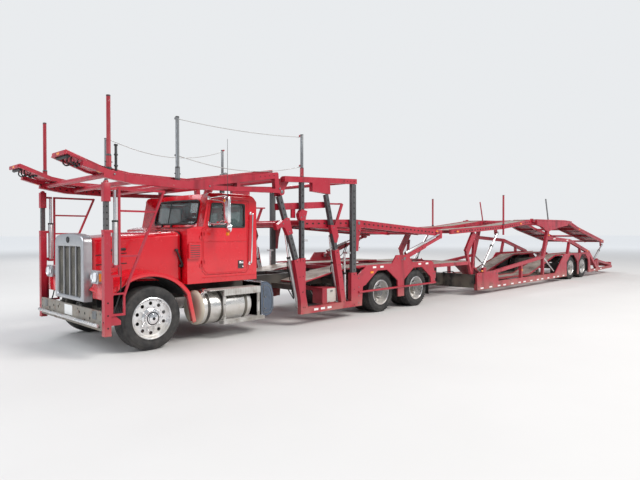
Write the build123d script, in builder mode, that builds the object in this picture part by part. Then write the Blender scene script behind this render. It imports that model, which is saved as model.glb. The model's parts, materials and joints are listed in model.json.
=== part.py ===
from build123d import *
from math import atan2, cos, degrees, hypot, radians, sin
import os

# Car transporter: a day-cab tractor with a head rack, and a stinger-steered semi-trailer.
# Millimetres. +Z up, nose towards -X, driver's side towards -Y, ground at Z 0.
# Stations along the truck are measured from the front axle, positive to the rear.

os.makedirs("parts", exist_ok=True)

# Overall reach, axle stations and the pivot
front_reach = 1210
rear_reach = 21440
steer_x = (front_reach - rear_reach) / 2
drive_stations = (5260, 6580)
trailer_stations = (16465, 17676)
pivot_station = 8050
half_width = 1295

# Fits and gaps
seat_gap = 0.3
pin_fit = 0.05
door_gap = 6

# Wheels
steer_tyre_radius = 462.5
steer_tyre_width = 295
steer_rim_radius = 298
dual_tyre_radius = 422.5
dual_tyre_width = 245
dual_rim_radius = 260
dual_spacing = 305
steer_tyre_outer = 1180
dual_tyre_outer = half_width - 65
spindle_radius = 45
kingpin_side = 840

# Chassis rails
rail_outer = 432
rail_width = 90
rail_bottom = 630
rail_top = 900
rail_front = -600
rail_rear = 7050
horn_front = -715
horn_low = 540
horn_high = 660

# Side frames of the loading gear
frame_wide = 90
frame_inner = half_width - frame_wide
plate_wide = 30
deck_outer = frame_inner - 15
deck_rail_wide = 70
track_inner = 480
track_plate = 30

# Cab
cab_half = 1030
cab_wall = 50
cab_front = 660
cab_rear = 2020
cab_floor = rail_top
cab_roof = 2340
cowl_top = 1760
door_front = 930
door_rear = 1840
door_bottom = 1030
door_top = 2240
sill_line = 1790

# Hinge stations and heights
rack_hinge = (2380, 2420)
deck_hinge = (4460, 1900)
lift_foot = (6020, 1120)
lift_eye = (7600, 1600)
hood_hinge = (-660, 640)
hood_pin_radius = 20
front_deck_hinge = (13200, 2100)
front_jack_foot = (9820, 690)
front_jack_eye = (10780, 1690)
rear_deck_hinge = (16450, 2080)
rear_jack_foot = (19120, 560)
rear_jack_eye = (20230, 1190)
ramp_hinge = (rear_reach - 1990, 600)
hinge_pin_radius = 30
hinge_boss_radius = 62

# Stake poles and the clips that hold the safety lines
pole_radius = 27
pole_side = (frame_inner + half_width) / 2
pole_socket = 8
clip_half = 14
clip_side = pole_side - pole_radius - 22
rack_pole_station = 370
mast_pole_station = 2900
clip_rows = [
    # side, height on the rack pole, height of the line's rear end
    (-1, 3400, 3450.7),
    (-1, 2855, 2908.3),
    (1, 3400, 3455.2),
]


def side(y):
    """Plane of a side view at Y: its x runs along the truck from the front axle, its y is height."""
    return Plane(origin=(steer_x, y, 0), x_dir=(1, 0, 0), z_dir=(0, -1, 0))


def bars(rows):
    """Straight members in a side view. Columns: x1, z1, x2, z2, depth."""
    for x1, z1, x2, z2, depth in rows:
        turn = degrees(atan2(z2 - z1, x2 - x1))
        with Locations(Location(((x1 + x2) / 2, (z1 + z2) / 2, 0), (0, 0, turn))):
            Rectangle(hypot(x2 - x1, z2 - z1), depth)


def chain(points, depth):
    """Members of one depth that follow a row of points, with round joints."""
    bars([(*a, *b, depth) for a, b in zip(points, points[1:])])
    with Locations(*points[1:-1]):
        Circle(depth / 2)


def both_sides(y_in, y_out, draw, mode=Mode.ADD):
    """Pads the same side view on the left and on the right, from y_in to y_out off the middle."""
    for top in (y_out, -y_in):
        with BuildSketch(side(top)) as profile:
            draw()
        extrude(profile.sketch, amount=y_out - y_in, mode=mode)


def across(y_half, draw):
    """Pads one side view right across the truck."""
    with BuildSketch(side(y_half)) as profile:
        draw()
    extrude(profile.sketch, amount=2 * y_half)


def blocks(rows):
    """Upright rectangles in a side view. Columns: x1, x2, z1, z2."""
    for x1, x2, z1, z2 in rows:
        with Locations(((x1 + x2) / 2, (z1 + z2) / 2)):
            Rectangle(x2 - x1, z2 - z1)


def discs(points, radius):
    with Locations(*points):
        Circle(radius)


def rod_between(start, end, radius, y, mode=Mode.ADD):
    """A round bar, or its bore, between two points of a side view at one Y."""
    run = Vector(end[0] - start[0], 0, end[1] - start[1])
    with BuildSketch(Plane(origin=(steer_x + start[0], y, start[1]), z_dir=run)) as ring:
        Circle(radius)
    extrude(ring.sketch, amount=run.length, mode=mode)


def clips(station, rows):
    """Clips on the inner face of the poles of one station. Columns: side, height."""
    for way, height in rows:
        with BuildSketch(side(max(way * (clip_side - clip_half), way * (pole_side - 10)))) as clip:
            with Locations((station, height)):
                Rectangle(2 * clip_half, 2 * clip_half)
        extrude(clip.sketch, amount=pole_side - 10 - clip_side + clip_half)


def along(start, end, distance):
    """The point at a distance from start on the way to end."""
    share = distance / hypot(end[0] - start[0], end[1] - start[1])
    return (start[0] + (end[0] - start[0]) * share, start[1] + (end[1] - start[1]) * share)


def save(builder, label):
    builder.part.label = label
    export_step(builder.part, f"parts/{label}.step")


# Chassis: two rails, cross members, the outriggers that carry the side frames, and the stinger
post_beam = (horn_front, -655, 410, 530)
hood_arm_in = 240
hood_arm_out = 280
outriggers = [(2860, 2960, 640, 740), (4240, 4340, 640, 740), (7230, 7330, 640, 740)]
stinger_half = 220
stinger_top = 440
stinger_bottom = 270
hitch_pin_radius = 40
hitch_pin_top = 560
with BuildPart() as chassis:
    both_sides(rail_outer - rail_width, rail_outer,
               lambda: blocks([(rail_front, rail_rear, rail_bottom, rail_top)]))
    both_sides(rail_outer - rail_width, rail_outer, lambda: blocks([
        (horn_front, rail_front + 40, horn_low, horn_high),
        (post_beam[0], post_beam[1], post_beam[2], horn_low)]))
    across(rail_outer, lambda: blocks([
        (rail_front + 40, rail_front + 110, rail_bottom, rail_top - 100),
        (1900, 2000, rail_bottom, rail_top),
        (3350, 3450, rail_bottom, rail_top),
        (4600, 4700, rail_bottom, rail_top),
        (5880, 5960, rail_bottom, rail_top),
        (rail_rear - 150, rail_rear, rail_bottom, rail_top),
    ]))
    both_sides(rail_outer - 20, frame_inner, lambda: blocks(outriggers))
    both_sides(rail_outer - rail_width, frame_inner, lambda: blocks([post_beam]))
    both_sides(rail_outer - 20, frame_inner, lambda: blocks([(rail_rear - 20, 7330, 640, 740)]))
    both_sides(hood_arm_in - 5, rail_outer - rail_width + 5, lambda: discs([hood_hinge], hood_pin_radius))
    across(stinger_half, lambda: Polygon(
        (rail_rear - 150, rail_bottom), (rail_rear - 150, rail_top), (7300, 820), (7560, stinger_top),
        (pivot_station + 100, stinger_top), (pivot_station + 100, stinger_bottom), (7350, 300), align=None))
    with BuildSketch(Plane.XY.offset(stinger_bottom)):
        with Locations((steer_x + pivot_station, 0)):
            Circle(hitch_pin_radius)
    extrude(amount=hitch_pin_top - stinger_bottom)
save(chassis, "chassis")

# Engine: one plain block between the rails, with its gearbox
engine_half = rail_outer - rail_width - seat_gap
with BuildPart() as engine:
    across(engine_half, lambda: blocks([(-450, 560, 640, 1430), (560, 640, 640, 1150)]))
save(engine, "engine")

# Front axle: beam, spring packs up to the rails, and the eyes that the kingpins turn in
kingpin_radius = 22
eye_radius = 46
eye_low = 400
eye_high = 520
with BuildPart() as front_axle:
    across(kingpin_side, lambda: blocks([(-50, 50, 400, 500)]))
    both_sides(rail_outer - rail_width, rail_outer, lambda: Polygon(
        (-520, rail_bottom), (-480, rail_bottom), (-60, 560), (60, 560), (520, rail_bottom),
        (560, rail_bottom), (80, 480), (-80, 480), align=None))
    with BuildSketch(Plane.XY.offset(eye_low)):
        with Locations((steer_x, kingpin_side), (steer_x, -kingpin_side)):
            Circle(eye_radius)
    extrude(amount=eye_high - eye_low)
    with BuildSketch(Plane.XY.offset(eye_low)):
        with Locations((steer_x, kingpin_side), (steer_x, -kingpin_side)):
            Circle(kingpin_radius + pin_fit)
    extrude(amount=eye_high - eye_low, mode=Mode.SUBTRACT)
save(front_axle, "front_axle")

# Drive axles: housings with their bowls, spindles, and the hangers up to the rails
housing_radius = 65
bowl_radius = 190
housing_half = 640
spindle_half = dual_tyre_outer - 220


def axle_set(stations, hanger_top, hanger_in, hanger_out, bowl):
    """A pair of axles, each a housing, a bowl, spindles and hangers."""
    points = [(x, dual_tyre_radius) for x in stations]
    across(housing_half, lambda: discs(points, housing_radius))
    across(spindle_half, lambda: discs(points, spindle_radius))
    across(120, lambda: discs(points, bowl))
    both_sides(hanger_in, hanger_out,
               lambda: blocks([(x - 90, x + 90, dual_tyre_radius, hanger_top) for x in stations]))


with BuildPart() as drive_axles:
    axle_set(drive_stations, rail_bottom, rail_outer - rail_width, rail_outer, bowl_radius)
save(drive_axles, "drive_axles")

# Knuckles: a yoke over and under the axle eye, the kingpin, and the spindle
yoke_plate = 38
yoke_gap = 1.0
web_inner = 892
web_outer = 925
spindle_tip = 1130
for name, way in (("knuckle_left", -1), ("knuckle_right", 1)):
    with BuildPart() as knuckle:
        for low in (eye_low - yoke_gap - yoke_plate, eye_high + yoke_gap):
            with BuildSketch(Plane.XY.offset(low)):
                with Locations((steer_x, way * kingpin_side)):
                    Circle(eye_radius)
                with Locations((steer_x, way * (kingpin_side + web_outer) / 2)):
                    Rectangle(2 * eye_radius, web_outer - kingpin_side)
            extrude(amount=yoke_plate)
        with BuildSketch(Plane.XY.offset(eye_low - yoke_gap - yoke_plate)):
            with Locations((steer_x, way * (web_inner + web_outer) / 2)):
                Rectangle(2 * eye_radius, web_outer - web_inner)
        extrude(amount=eye_high - eye_low + 2 * (yoke_gap + yoke_plate))
        with BuildSketch(Plane.XY.offset(eye_low - yoke_gap - yoke_plate)):
            with Locations((steer_x, way * kingpin_side)):
                Circle(kingpin_radius)
        extrude(amount=eye_high - eye_low + 2 * (yoke_gap + yoke_plate))
        with BuildSketch(side(spindle_tip if way > 0 else -web_inner)):
            discs([(0, steer_tyre_radius)], spindle_radius)
        extrude(amount=spindle_tip - web_inner)
    save(knuckle, name)


def wheel_plane(station, height):
    """Half section of a wheel: its x is the radius, its y is world Y."""
    return Plane(origin=(steer_x + station, 0, height), x_dir=(1, 0, 0), z_dir=(0, 0, 1))


def tyre_section(radius, rim, y_in, y_out):
    """One tyre with round shoulders and bulged walls."""
    middle = (y_in + y_out) / 2
    half = (y_out - y_in) / 2
    return Polygon(
        (rim - 14, middle - half + 22), (rim + 30, middle - half + 6), (rim + 90, middle - half),
        (radius - 32, middle - half + 12), (radius - 6, middle - half + 34), (radius, middle - half + 62),
        (radius, middle + half - 62), (radius - 6, middle + half - 34), (radius - 32, middle + half - 12),
        (rim + 90, middle + half), (rim + 30, middle + half - 6), (rim - 14, middle + half - 22),
        align=None)


# Steer wheels: one tyre on a dished disc, bored for the spindle
steer_disc = 1105
hub_radius = 115
for name, way in (("steer_wheel_left", -1), ("steer_wheel_right", 1)):
    with BuildPart() as steer_wheel:
        with BuildSketch(wheel_plane(0, steer_tyre_radius)):
            inner_face = way * (steer_tyre_outer - steer_tyre_width)
            outer_face = way * steer_tyre_outer
            tyre_section(steer_tyre_radius, steer_rim_radius, min(inner_face, outer_face),
                         max(inner_face, outer_face))
            with Locations((steer_rim_radius - 24, (inner_face + outer_face) / 2)):
                Rectangle(24, steer_tyre_width - 16)
            with Locations(((spindle_radius + steer_rim_radius - 20) / 2, way * steer_disc)):
                Rectangle(steer_rim_radius - 20 - spindle_radius, 26)
            with Locations((hub_radius / 2, way * (steer_disc + 34))):
                Rectangle(hub_radius, 70)
            with Locations(((spindle_radius + pin_fit) / 2, way * (spindle_tip - 60))):
                Rectangle(spindle_radius + pin_fit, 132, mode=Mode.SUBTRACT)
        revolve(axis=Axis((steer_x, 0, steer_tyre_radius), (0, 1, 0)))
    save(steer_wheel, name)

# Twin wheels: two tyres, one bored hub, and the dished outer disc
dual_disc_gap = 18


def twin_wheel(name, station, way):
    outer_mid = dual_tyre_outer - dual_tyre_width / 2
    inner_mid = outer_mid - dual_spacing
    with BuildPart() as wheel:
        with BuildSketch(wheel_plane(station, dual_tyre_radius)):
            for middle in (outer_mid, inner_mid):
                tyre_section(dual_tyre_radius, dual_rim_radius, way * middle - dual_tyre_width / 2,
                             way * middle + dual_tyre_width / 2)
                with Locations((dual_rim_radius - 22, way * middle)):
                    Rectangle(22, dual_tyre_width - 12)
            disc_mid = (outer_mid + inner_mid) / 2
            with Locations(((spindle_radius + dual_rim_radius - 12) / 2, way * disc_mid)):
                Rectangle(dual_rim_radius - 12 - spindle_radius, 2 * dual_disc_gap)
            with Locations((dual_rim_radius - 22, way * disc_mid)):
                Rectangle(22, dual_spacing - dual_tyre_width + 40)
            with Locations((95 / 2, way * (disc_mid + 70))):
                Rectangle(95, 190)
            with Locations(((spindle_radius + pin_fit) / 2, way * (disc_mid - 60))):
                Rectangle(spindle_radius + pin_fit, 250, mode=Mode.SUBTRACT)
        revolve(axis=Axis((steer_x + station, 0, dual_tyre_radius), (0, 1, 0)))
    save(wheel, name)


for group, stations in (("drive", drive_stations), ("trailer", trailer_stations)):
    for place, station in zip(("front", "rear"), stations):
        for hand, way in (("left", -1), ("right", 1)):
            twin_wheel(f"{group}_wheel_{place}_{hand}", station, way)

# Bumper: a plate with two tow holes, its brackets and the step tube in front
bumper_plate = 30
bumper_front = horn_front - bumper_plate
bumper_low = 375
bumper_high = 640
bumper_half = frame_inner - 5
tow_hole_radius = 22
tow_hole_side = 420
tow_hole_height = 560
tube_radius = 24
with BuildPart() as bumper:
    with BuildSketch(Plane(origin=(steer_x + bumper_front, 0, 0), x_dir=(0, 1, 0), z_dir=(1, 0, 0))):
        with Locations((0, (bumper_low + bumper_high) / 2)):
            RectangleRounded(2 * bumper_half, bumper_high - bumper_low, 40)
        with Locations((tow_hole_side, tow_hole_height), (-tow_hole_side, tow_hole_height)):
            Circle(tow_hole_radius, mode=Mode.SUBTRACT)
    extrude(amount=bumper_plate)
    across(bumper_half - 40, lambda: discs([(bumper_front - 45, 450)], tube_radius))
    both_sides(860, 900, lambda: blocks([(bumper_front - 45, bumper_front + 5, 435, 465)]))
save(bumper, "bumper")

# Cab shell: hollow, with door openings, a bowed windscreen, a rear window and an intake box on each side
cab_outline = [(cab_front, cab_floor), (cab_rear, cab_floor), (cab_rear, 2230), (1930, cab_roof),
               (1060, cab_roof), (900, cab_roof - 25), (870, 1815), (cab_front, cowl_top)]
cab_hollow = [(cab_front + 40, cab_floor + cab_wall), (cab_rear - cab_wall, cab_floor + cab_wall),
              (cab_rear - cab_wall, 2210), (1910, cab_roof - 45), (800, cab_roof - 45),
              (800, 1750), (cab_front + 40, 1715)]
door_outline = [(door_front, door_bottom + 60), (door_front + 60, door_bottom), (door_rear - 60, door_bottom),
                (door_rear, door_bottom + 60), (door_rear, door_top), (1075, door_top), (1000, sill_line),
                (door_front, sill_line - 30)]
window_outline = [(1048, sill_line), (1770, sill_line), (1770, 2185), (1110, 2185)]
screen_half = 690
screen_low = 1850
screen_high = 2240
screen_foot = 1800
screen_bow = (905, 1030)
screen_post = 945
screen_lean = 0.19
rear_window = (620, 1880, 2200)
door_axis = (door_front - 4, cab_half + 15)
door_hinge_lows = (1150, 1600)
door_knuckle = 55
door_knuckle_radius = 13
door_leaf = 45
hinge_play = 0.3
screen_setback = 20
intake_box = (670, 880, 1300, 1530)


def door_hinge(way, low, reach):
    """One knuckle of a door hinge with its leaf on the wall; the reach is signed along the truck."""
    with BuildSketch(Plane.XY.offset(low)) as profile:
        with Locations((steer_x + door_axis[0], way * door_axis[1])):
            Circle(door_knuckle_radius)
        with Locations((steer_x + door_axis[0] + reach / 2, way * (cab_half + 3))):
            Rectangle(abs(reach), 14)
    extrude(profile.sketch, amount=door_knuckle)


def ahead_of_screen(setback):
    """Plan view of the space ahead of the bowed screen and its corner posts, set back and down."""
    start = steer_x + setback - screen_lean * setback
    middle, corner = screen_bow
    half = screen_half + 15
    with BuildSketch(Plane.XY.offset(screen_foot - setback)) as plan:
        with BuildLine():
            bow = ThreePointArc((start + corner, -half), (start + middle, 0), (start + corner, half))
            Polyline(bow @ 1, (start + screen_post, cab_half + 1), (start + 400, cab_half + 1),
                     (start + 400, -cab_half - 1), (start + screen_post, -cab_half - 1), bow @ 0)
        make_face()
    return plan.sketch


lean = Vector(screen_lean, 0, 1)
screen_rise = (cab_roof + 60 - screen_foot) * lean.length
with BuildPart() as cab_room:
    with BuildSketch(side(cab_half - cab_wall)):
        Polygon(*cab_hollow, align=None)
    extrude(amount=2 * (cab_half - cab_wall))
    extrude(ahead_of_screen(cab_wall), amount=screen_rise, dir=lean, mode=Mode.SUBTRACT)

with BuildPart() as cab_shell:
    across(cab_half, lambda: Polygon(*cab_outline, align=None))
    fillet(cab_shell.edges().filter_by(Axis.X).group_by(Axis.Z)[-1], 60)
    extrude(ahead_of_screen(0), amount=screen_rise, dir=lean, mode=Mode.SUBTRACT)
    add(cab_room.part, mode=Mode.SUBTRACT)
    for top in (cab_half + 1, -(cab_half - cab_wall - 1)):
        with BuildSketch(side(top)):
            Polygon(*door_outline, align=None)
            offset(amount=door_gap)
        extrude(amount=cab_wall + 2, mode=Mode.SUBTRACT)
    front_view = Plane(origin=(steer_x + 820, 0, 0), x_dir=(0, 1, 0), z_dir=(1, 0, 0))
    with BuildSketch(front_view):
        with Locations((0, (screen_low + screen_high) / 2)):
            RectangleRounded(2 * screen_half, screen_high - screen_low, 50)
    extrude(amount=380, mode=Mode.SUBTRACT)
    with BuildSketch(front_view):
        with Locations((0, (rear_window[1] + rear_window[2]) / 2)):
            RectangleRounded(2 * rear_window[0], rear_window[2] - rear_window[1], 60)
    extrude(amount=1300, mode=Mode.SUBTRACT)
    for way in (1, -1):
        for low in door_hinge_lows:
            door_hinge(way, low, -door_leaf)
    both_sides(cab_half - 5, cab_half + 45, lambda: blocks([intake_box]))
save(cab_shell, "cab_shell")

# Cab glass: the bowed screen and one pane in the back wall
glass = 6
with BuildPart() as cab_glass:
    with BuildSketch(Plane(origin=(steer_x + 820, 0, 0), x_dir=(0, 1, 0), z_dir=(1, 0, 0))):
        with Locations((0, (screen_low + screen_high) / 2)):
            RectangleRounded(2 * (screen_half - seat_gap), screen_high - screen_low - 2 * seat_gap, 50 - seat_gap)
    extrude(amount=380)
    extrude(ahead_of_screen(screen_setback), amount=screen_rise, dir=lean, mode=Mode.SUBTRACT)
    with BuildPart(mode=Mode.PRIVATE) as behind_screen:
        extrude(ahead_of_screen(screen_setback + glass), amount=screen_rise, dir=lean)
    add(behind_screen.part, mode=Mode.INTERSECT)
    with BuildSketch(Plane(origin=(steer_x + cab_rear - 30, 0, 0), x_dir=(0, 1, 0), z_dir=(1, 0, 0))):
        with Locations((0, (rear_window[1] + rear_window[2]) / 2)):
            RectangleRounded(2 * (rear_window[0] - seat_gap), rear_window[2] - rear_window[1] - 2 * seat_gap,
                             60 - seat_gap)
    extrude(amount=glass)
save(cab_glass, "cab_glass")

# Seats on pedestals, a dashboard with its column and wheel
seat_side = 480
seat_half = 230
dash_front = 905
wheel_reach = 215
with BuildPart() as cab_interior:
    for way in (1, -1):
        with BuildSketch(side(way * seat_side + seat_half)):
            Polygon((1330, cab_floor + cab_wall), (1330, 1130), (1280, 1130), (1280, 1290), (1760, 1290),
                    (1800, 1960), (1900, 1960), (1880, 1130), (1780, 1130), (1780, cab_floor + cab_wall),
                    align=None)
        extrude(amount=2 * seat_half)
    across(cab_half - cab_wall, lambda: Polygon(
        (cab_front + 40, 1380), (cab_front + 40, 1700), (dash_front, 1735), (1010, 1700), (1030, 1500),
        (980, 1400), align=None))
    column = Plane(origin=(steer_x + 1000, -seat_side, 1560), x_dir=(0, 1, 0), z_dir=(0.86, 0, 0.51))
    with BuildSketch(column):
        Circle(28)
    extrude(amount=wheel_reach + 20)
    with BuildSketch(column.offset(wheel_reach)):
        Circle(235)
        Circle(212, mode=Mode.SUBTRACT)
        Rectangle(430, 40)
    extrude(amount=24)
save(cab_interior, "cab_interior")

# Doors as thick as the wall, with their mirrors, and their glass
mirror_side = cab_half + 185
mirror_half = 95
mirror_tall = 424
mirror_height = 2061
mirror_view = Plane(origin=(steer_x + 1195, 0, 0), x_dir=(0, 1, 0), z_dir=(1, 0, 0))
for hand, way in (("left", -1), ("right", 1)):
    outer = max(way * cab_half, way * (cab_half - cab_wall))
    with BuildPart() as door:
        with BuildSketch(side(outer)):
            Polygon(*door_outline, align=None)
            Polygon(*window_outline, align=None, mode=Mode.SUBTRACT)
        extrude(amount=cab_wall)
        with BuildSketch(side(max(way * cab_half, way * (cab_half + 22)))):
            with Locations((1680, 1170)):
                RectangleRounded(112, 135, 20)
        extrude(amount=22)
        for low in door_hinge_lows:
            door_hinge(way, low + door_knuckle + hinge_play, door_leaf)
        with BuildSketch(mirror_view.offset(15)):
            for height in (1870, 2230):
                with Locations((way * (cab_half - 10 + mirror_side + 10) / 2, height)):
                    Rectangle(mirror_side + 20 - cab_half, 26)
        extrude(amount=40)
        with BuildSketch(mirror_view):
            with Locations((way * (mirror_side + 50), mirror_height)):
                RectangleRounded(2 * mirror_half, mirror_tall, 30)
        extrude(amount=70)
    save(door, f"door_{hand}")
    with BuildPart() as door_glass:
        with BuildSketch(side(max(way * (cab_half - 22), way * (cab_half - 28)))):
            Polygon(*window_outline, align=None)
            offset(amount=-seat_gap)
        extrude(amount=glass)
    save(door_glass, f"door_glass_{hand}")

# Hood: a thin shell that narrows to the grille, with its fenders
hood_wall = 26
hood_sections = [
    # station, half width, bottom, shoulder, top, shoulder inset
    (-612, 540, 980, 1550, 1640, 110),
    (630, 880, 960, 1660, 1750, 190),
]
shell_half = 560
fender_in = 640
fender_tail_in = cab_half + 12
fender_out = frame_inner - 25
fender_nose = (-640, 850)
fender_nose_low = 700
fender_crown = (-20, 1125)
fender_wall = 40
fender_crown_end = (610, 790)
fender_tail = (715, 330)


def hood_frame(station, half, low, shoulder, high, inset, wall):
    """Cross section of the hood: straight sides, a shoulder and a flat top."""
    plane = Plane(origin=(steer_x + station, 0, 0), x_dir=(0, 1, 0), z_dir=(1, 0, 0))
    with BuildSketch(plane) as frame:
        Polygon((-half + wall, low), (half - wall, low), (half - wall, shoulder - wall / 2),
                (half - inset - wall / 2, high - wall), (-half + inset + wall / 2, high - wall),
                (-half + wall, shoulder - wall / 2), align=None)
    return frame.sketch


def fender_outline(inset, low):
    """The wheel arch: a round crown, a straight tail down to a level behind the wheel, and a nose ahead of it."""
    nose_x, nose_z = fender_nose
    end_x, end_z = fender_crown_end
    tail_x, tail_z = fender_tail
    low_x = end_x + (tail_x - end_x) * (end_z - low) / (end_z - tail_z)
    with BuildLine() as outline:
        crown = ThreePointArc((nose_x + inset, nose_z), (fender_crown[0], fender_crown[1] - inset),
                              (end_x - inset, end_z))
        Polyline(crown @ 1, (low_x - inset, low - inset), (nose_x + inset, fender_nose_low - inset), crown @ 0)
    return outline.line


def fender(low):
    """Side view of a fender: the wall of the wheel arch, open at the bottom."""
    make_face(fender_outline(0, low))
    make_face(fender_outline(fender_wall, low), mode=Mode.SUBTRACT)


with BuildPart() as hood:
    loft([hood_frame(*row, 0) for row in hood_sections])
    cutters = [hood_frame(station, half, low - 60, shoulder, high, inset, hood_wall)
               for station, half, low, shoulder, high, inset in hood_sections]
    loft(cutters, mode=Mode.SUBTRACT)
    both_sides(fender_in, fender_out, lambda: fender(fender_crown_end[1] - 20))
    both_sides(fender_tail_in, fender_out, lambda: fender(fender_tail[1]))
    both_sides(shell_half + seat_gap, fender_out - 20, lambda: blocks([(-655, -600, 850, 1020)]))
save(hood, "hood")

# Grille: a shell with a crown, the bars and mesh inside it, and the arms down to the hood hinge
shell_front = -745
shell_back = -612
shell_low = 705
shell_high = 1700
mesh_half = 470
mesh_low = 765
mesh_high = 1500
shell_view = Plane(origin=(steer_x + shell_front, 0, 0), x_dir=(0, 1, 0), z_dir=(1, 0, 0))


def hood_arm():
    """Side view of an arm from the shell down to its hinge pin."""
    bars([(*hood_hinge, hood_hinge[0] + 5, shell_low + 35, 60)])
    discs([hood_hinge], 30)
    with Locations(hood_hinge):
        Circle(hood_pin_radius + pin_fit, mode=Mode.SUBTRACT)


with BuildPart() as grille:
    with BuildSketch(shell_view):
        Polygon((-shell_half, shell_low), (shell_half, shell_low), (shell_half, shell_high - 130),
                (shell_half - 30, shell_high - 65), (shell_half - 110, shell_high - 30), (0, shell_high),
                (-shell_half + 110, shell_high - 30), (-shell_half + 30, shell_high - 65),
                (-shell_half, shell_high - 130), align=None)
        with Locations((0, (mesh_low + mesh_high) / 2)):
            RectangleRounded(2 * mesh_half, mesh_high - mesh_low, 50, mode=Mode.SUBTRACT)
    extrude(amount=shell_back - shell_front)
    both_sides(hood_arm_in, hood_arm_out, hood_arm)
    with BuildSketch(shell_view.offset(20)):
        for y in (-0.5 * mesh_half, 0, 0.5 * mesh_half):
            with Locations((y, (mesh_low + mesh_high) / 2)):
                Rectangle(26, mesh_high - mesh_low + 20)
    extrude(amount=40)
    with BuildSketch(shell_view.offset(50)):
        with Locations((0, (mesh_low + mesh_high) / 2)):
            RectangleRounded(2 * mesh_half + 20, mesh_high - mesh_low + 20, 50)
    extrude(amount=12)
save(grille, "grille")

# Headlamp pods on the fender noses
lamp_low = 985
lamp_high = 1185
lamp_side = 900
lamp_half = 120
with BuildPart() as headlamps:
    for way in (1, -1):
        with BuildSketch(side(way * lamp_side + lamp_half)):
            Polygon((-735, lamp_low + 20), (-735, lamp_high - 20), (-700, lamp_high), (-655, lamp_high),
                    (-655, lamp_low), (-700, lamp_low), align=None)
        extrude(amount=2 * lamp_half)
save(headlamps, "headlamps")

# Fuel tanks: drums with domed ends, bands, and the hangers to the rails
tank_radius = 280
tank_side = 915
tank_height = 510
tank_front = 785
tank_rear = 1830
with BuildPart() as fuel_tanks:
    for way in (1, -1):
        with BuildSketch(Plane(origin=(steer_x + tank_front, way * tank_side, tank_height),
                               x_dir=(0, 1, 0), z_dir=(1, 0, 0))):
            Circle(tank_radius - 6)
        extrude(amount=tank_rear - tank_front)
    fillet(fuel_tanks.edges().filter_by(GeomType.CIRCLE), 45)
    for way in (1, -1):
        for station in (930, 1180, 1650):
            plane = Plane(origin=(steer_x + station, way * tank_side, tank_height),
                          x_dir=(0, 1, 0), z_dir=(1, 0, 0))
            with BuildSketch(plane):
                Circle(tank_radius)
            extrude(amount=50)
    both_sides(rail_outer, tank_side - 100, lambda: blocks([(930, 980, 640, 720), (1650, 1700, 640, 720)]))
save(fuel_tanks, "fuel_tanks")

# Side steps: a tread over each tank and one below it on two hangers, and the rounded box behind them
step_face = tank_side + tank_radius
step_plate = 24
tread_top = 800
tread_low = 240
tread_start = 930
tread_end = 1940
hangers = [(1200, 1250), (tread_end - 50, tread_end)]
box_front = tread_end + 25
with BuildPart() as side_steps:
    both_sides(tank_side + 70, step_face + 2 * step_plate, lambda: blocks([
        (tread_start, tread_end, tread_top - 18, tread_top)]))
    both_sides(step_face + step_plate, step_face + 2 * step_plate, lambda: blocks([
        (hangers[0][0], tread_end, tread_top - 110, tread_top)]))
    both_sides(step_face, step_face + step_plate, lambda: blocks([
        (x1, x2, tread_low, tread_top) for x1, x2 in hangers]))
    both_sides(step_face - 45, half_width - 10, lambda: blocks([
        (hangers[0][0] - 40, box_front + 30, tread_low, tread_low + 60)]))
    both_sides(700, step_face + step_plate, lambda: Polygon(
        (box_front, 270), (box_front, 860), (2110, 860), (2200, 800), (2250, 650), (2250, 400), (2200, 300),
        (2120, 270), align=None))
    both_sides(rail_outer, 700, lambda: blocks([(2050, 2110, 650, 730)]))
save(side_steps, "side_steps")

# Side frames: sill, outer posts, wheel plates with their arches, and the pins of the deck and its arms
foot_low = 215
arm_in = frame_inner - 3
arm_out = frame_inner + 57
arch = [(-575, 0), (-575, 650), (-205, 905), (130, 905), (500, 655), (535, 0)]


def arches(stations):
    for station in stations:
        Polygon(*[(station + x, z) for x, z in arch], align=None, mode=Mode.SUBTRACT)


sleeve_rows = [
    # x1, z1, x2, z2, depth
    (2740, 1220, 2945, 290, 140),
    (2890, 1240, 2890, 290, 120),
    (3790, 1370, 4000, 290, 130),
    (4300, 900, 4300, foot_low, 170),
    (2830, 275, 4385, 275, 120),
]
inner_post_rows = [
    # x1, z1, x2, z2, depth
    (2345, 2340, 2738, 1226, 95),
    (2890, 1240, 2890, 2617, 85),
    (3522.5, 2430, 3788, 1380, 85),
    (4310, 900, 4310, 2678, 130),
]
inner_post_in = frame_inner + 10
inner_post_out = half_width - 10
collar_in = frame_inner + 3
strut_in = frame_inner + 30
collars = [
    [(2230, 1870), (2290, 1840), (2486, 1968), (2560, 1963), (2645, 1690), (2525, 1655), (2453, 1788),
     (2379, 1800), (2274, 1750)],
    [(2790, 2044), (2860, 2130), (3000, 2101), (2950, 1920), (2830, 1925), (2795, 1990)],
    [(3620, 1850), (3780, 1850), (3850, 1640), (3800, 1510), (3730, 1510), (3640, 1760)],
]
guard_rail = ((4430, 495), (7280, 505))
guard_radius = 22
guard_side = half_width + 8
strut_low = 290
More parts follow.
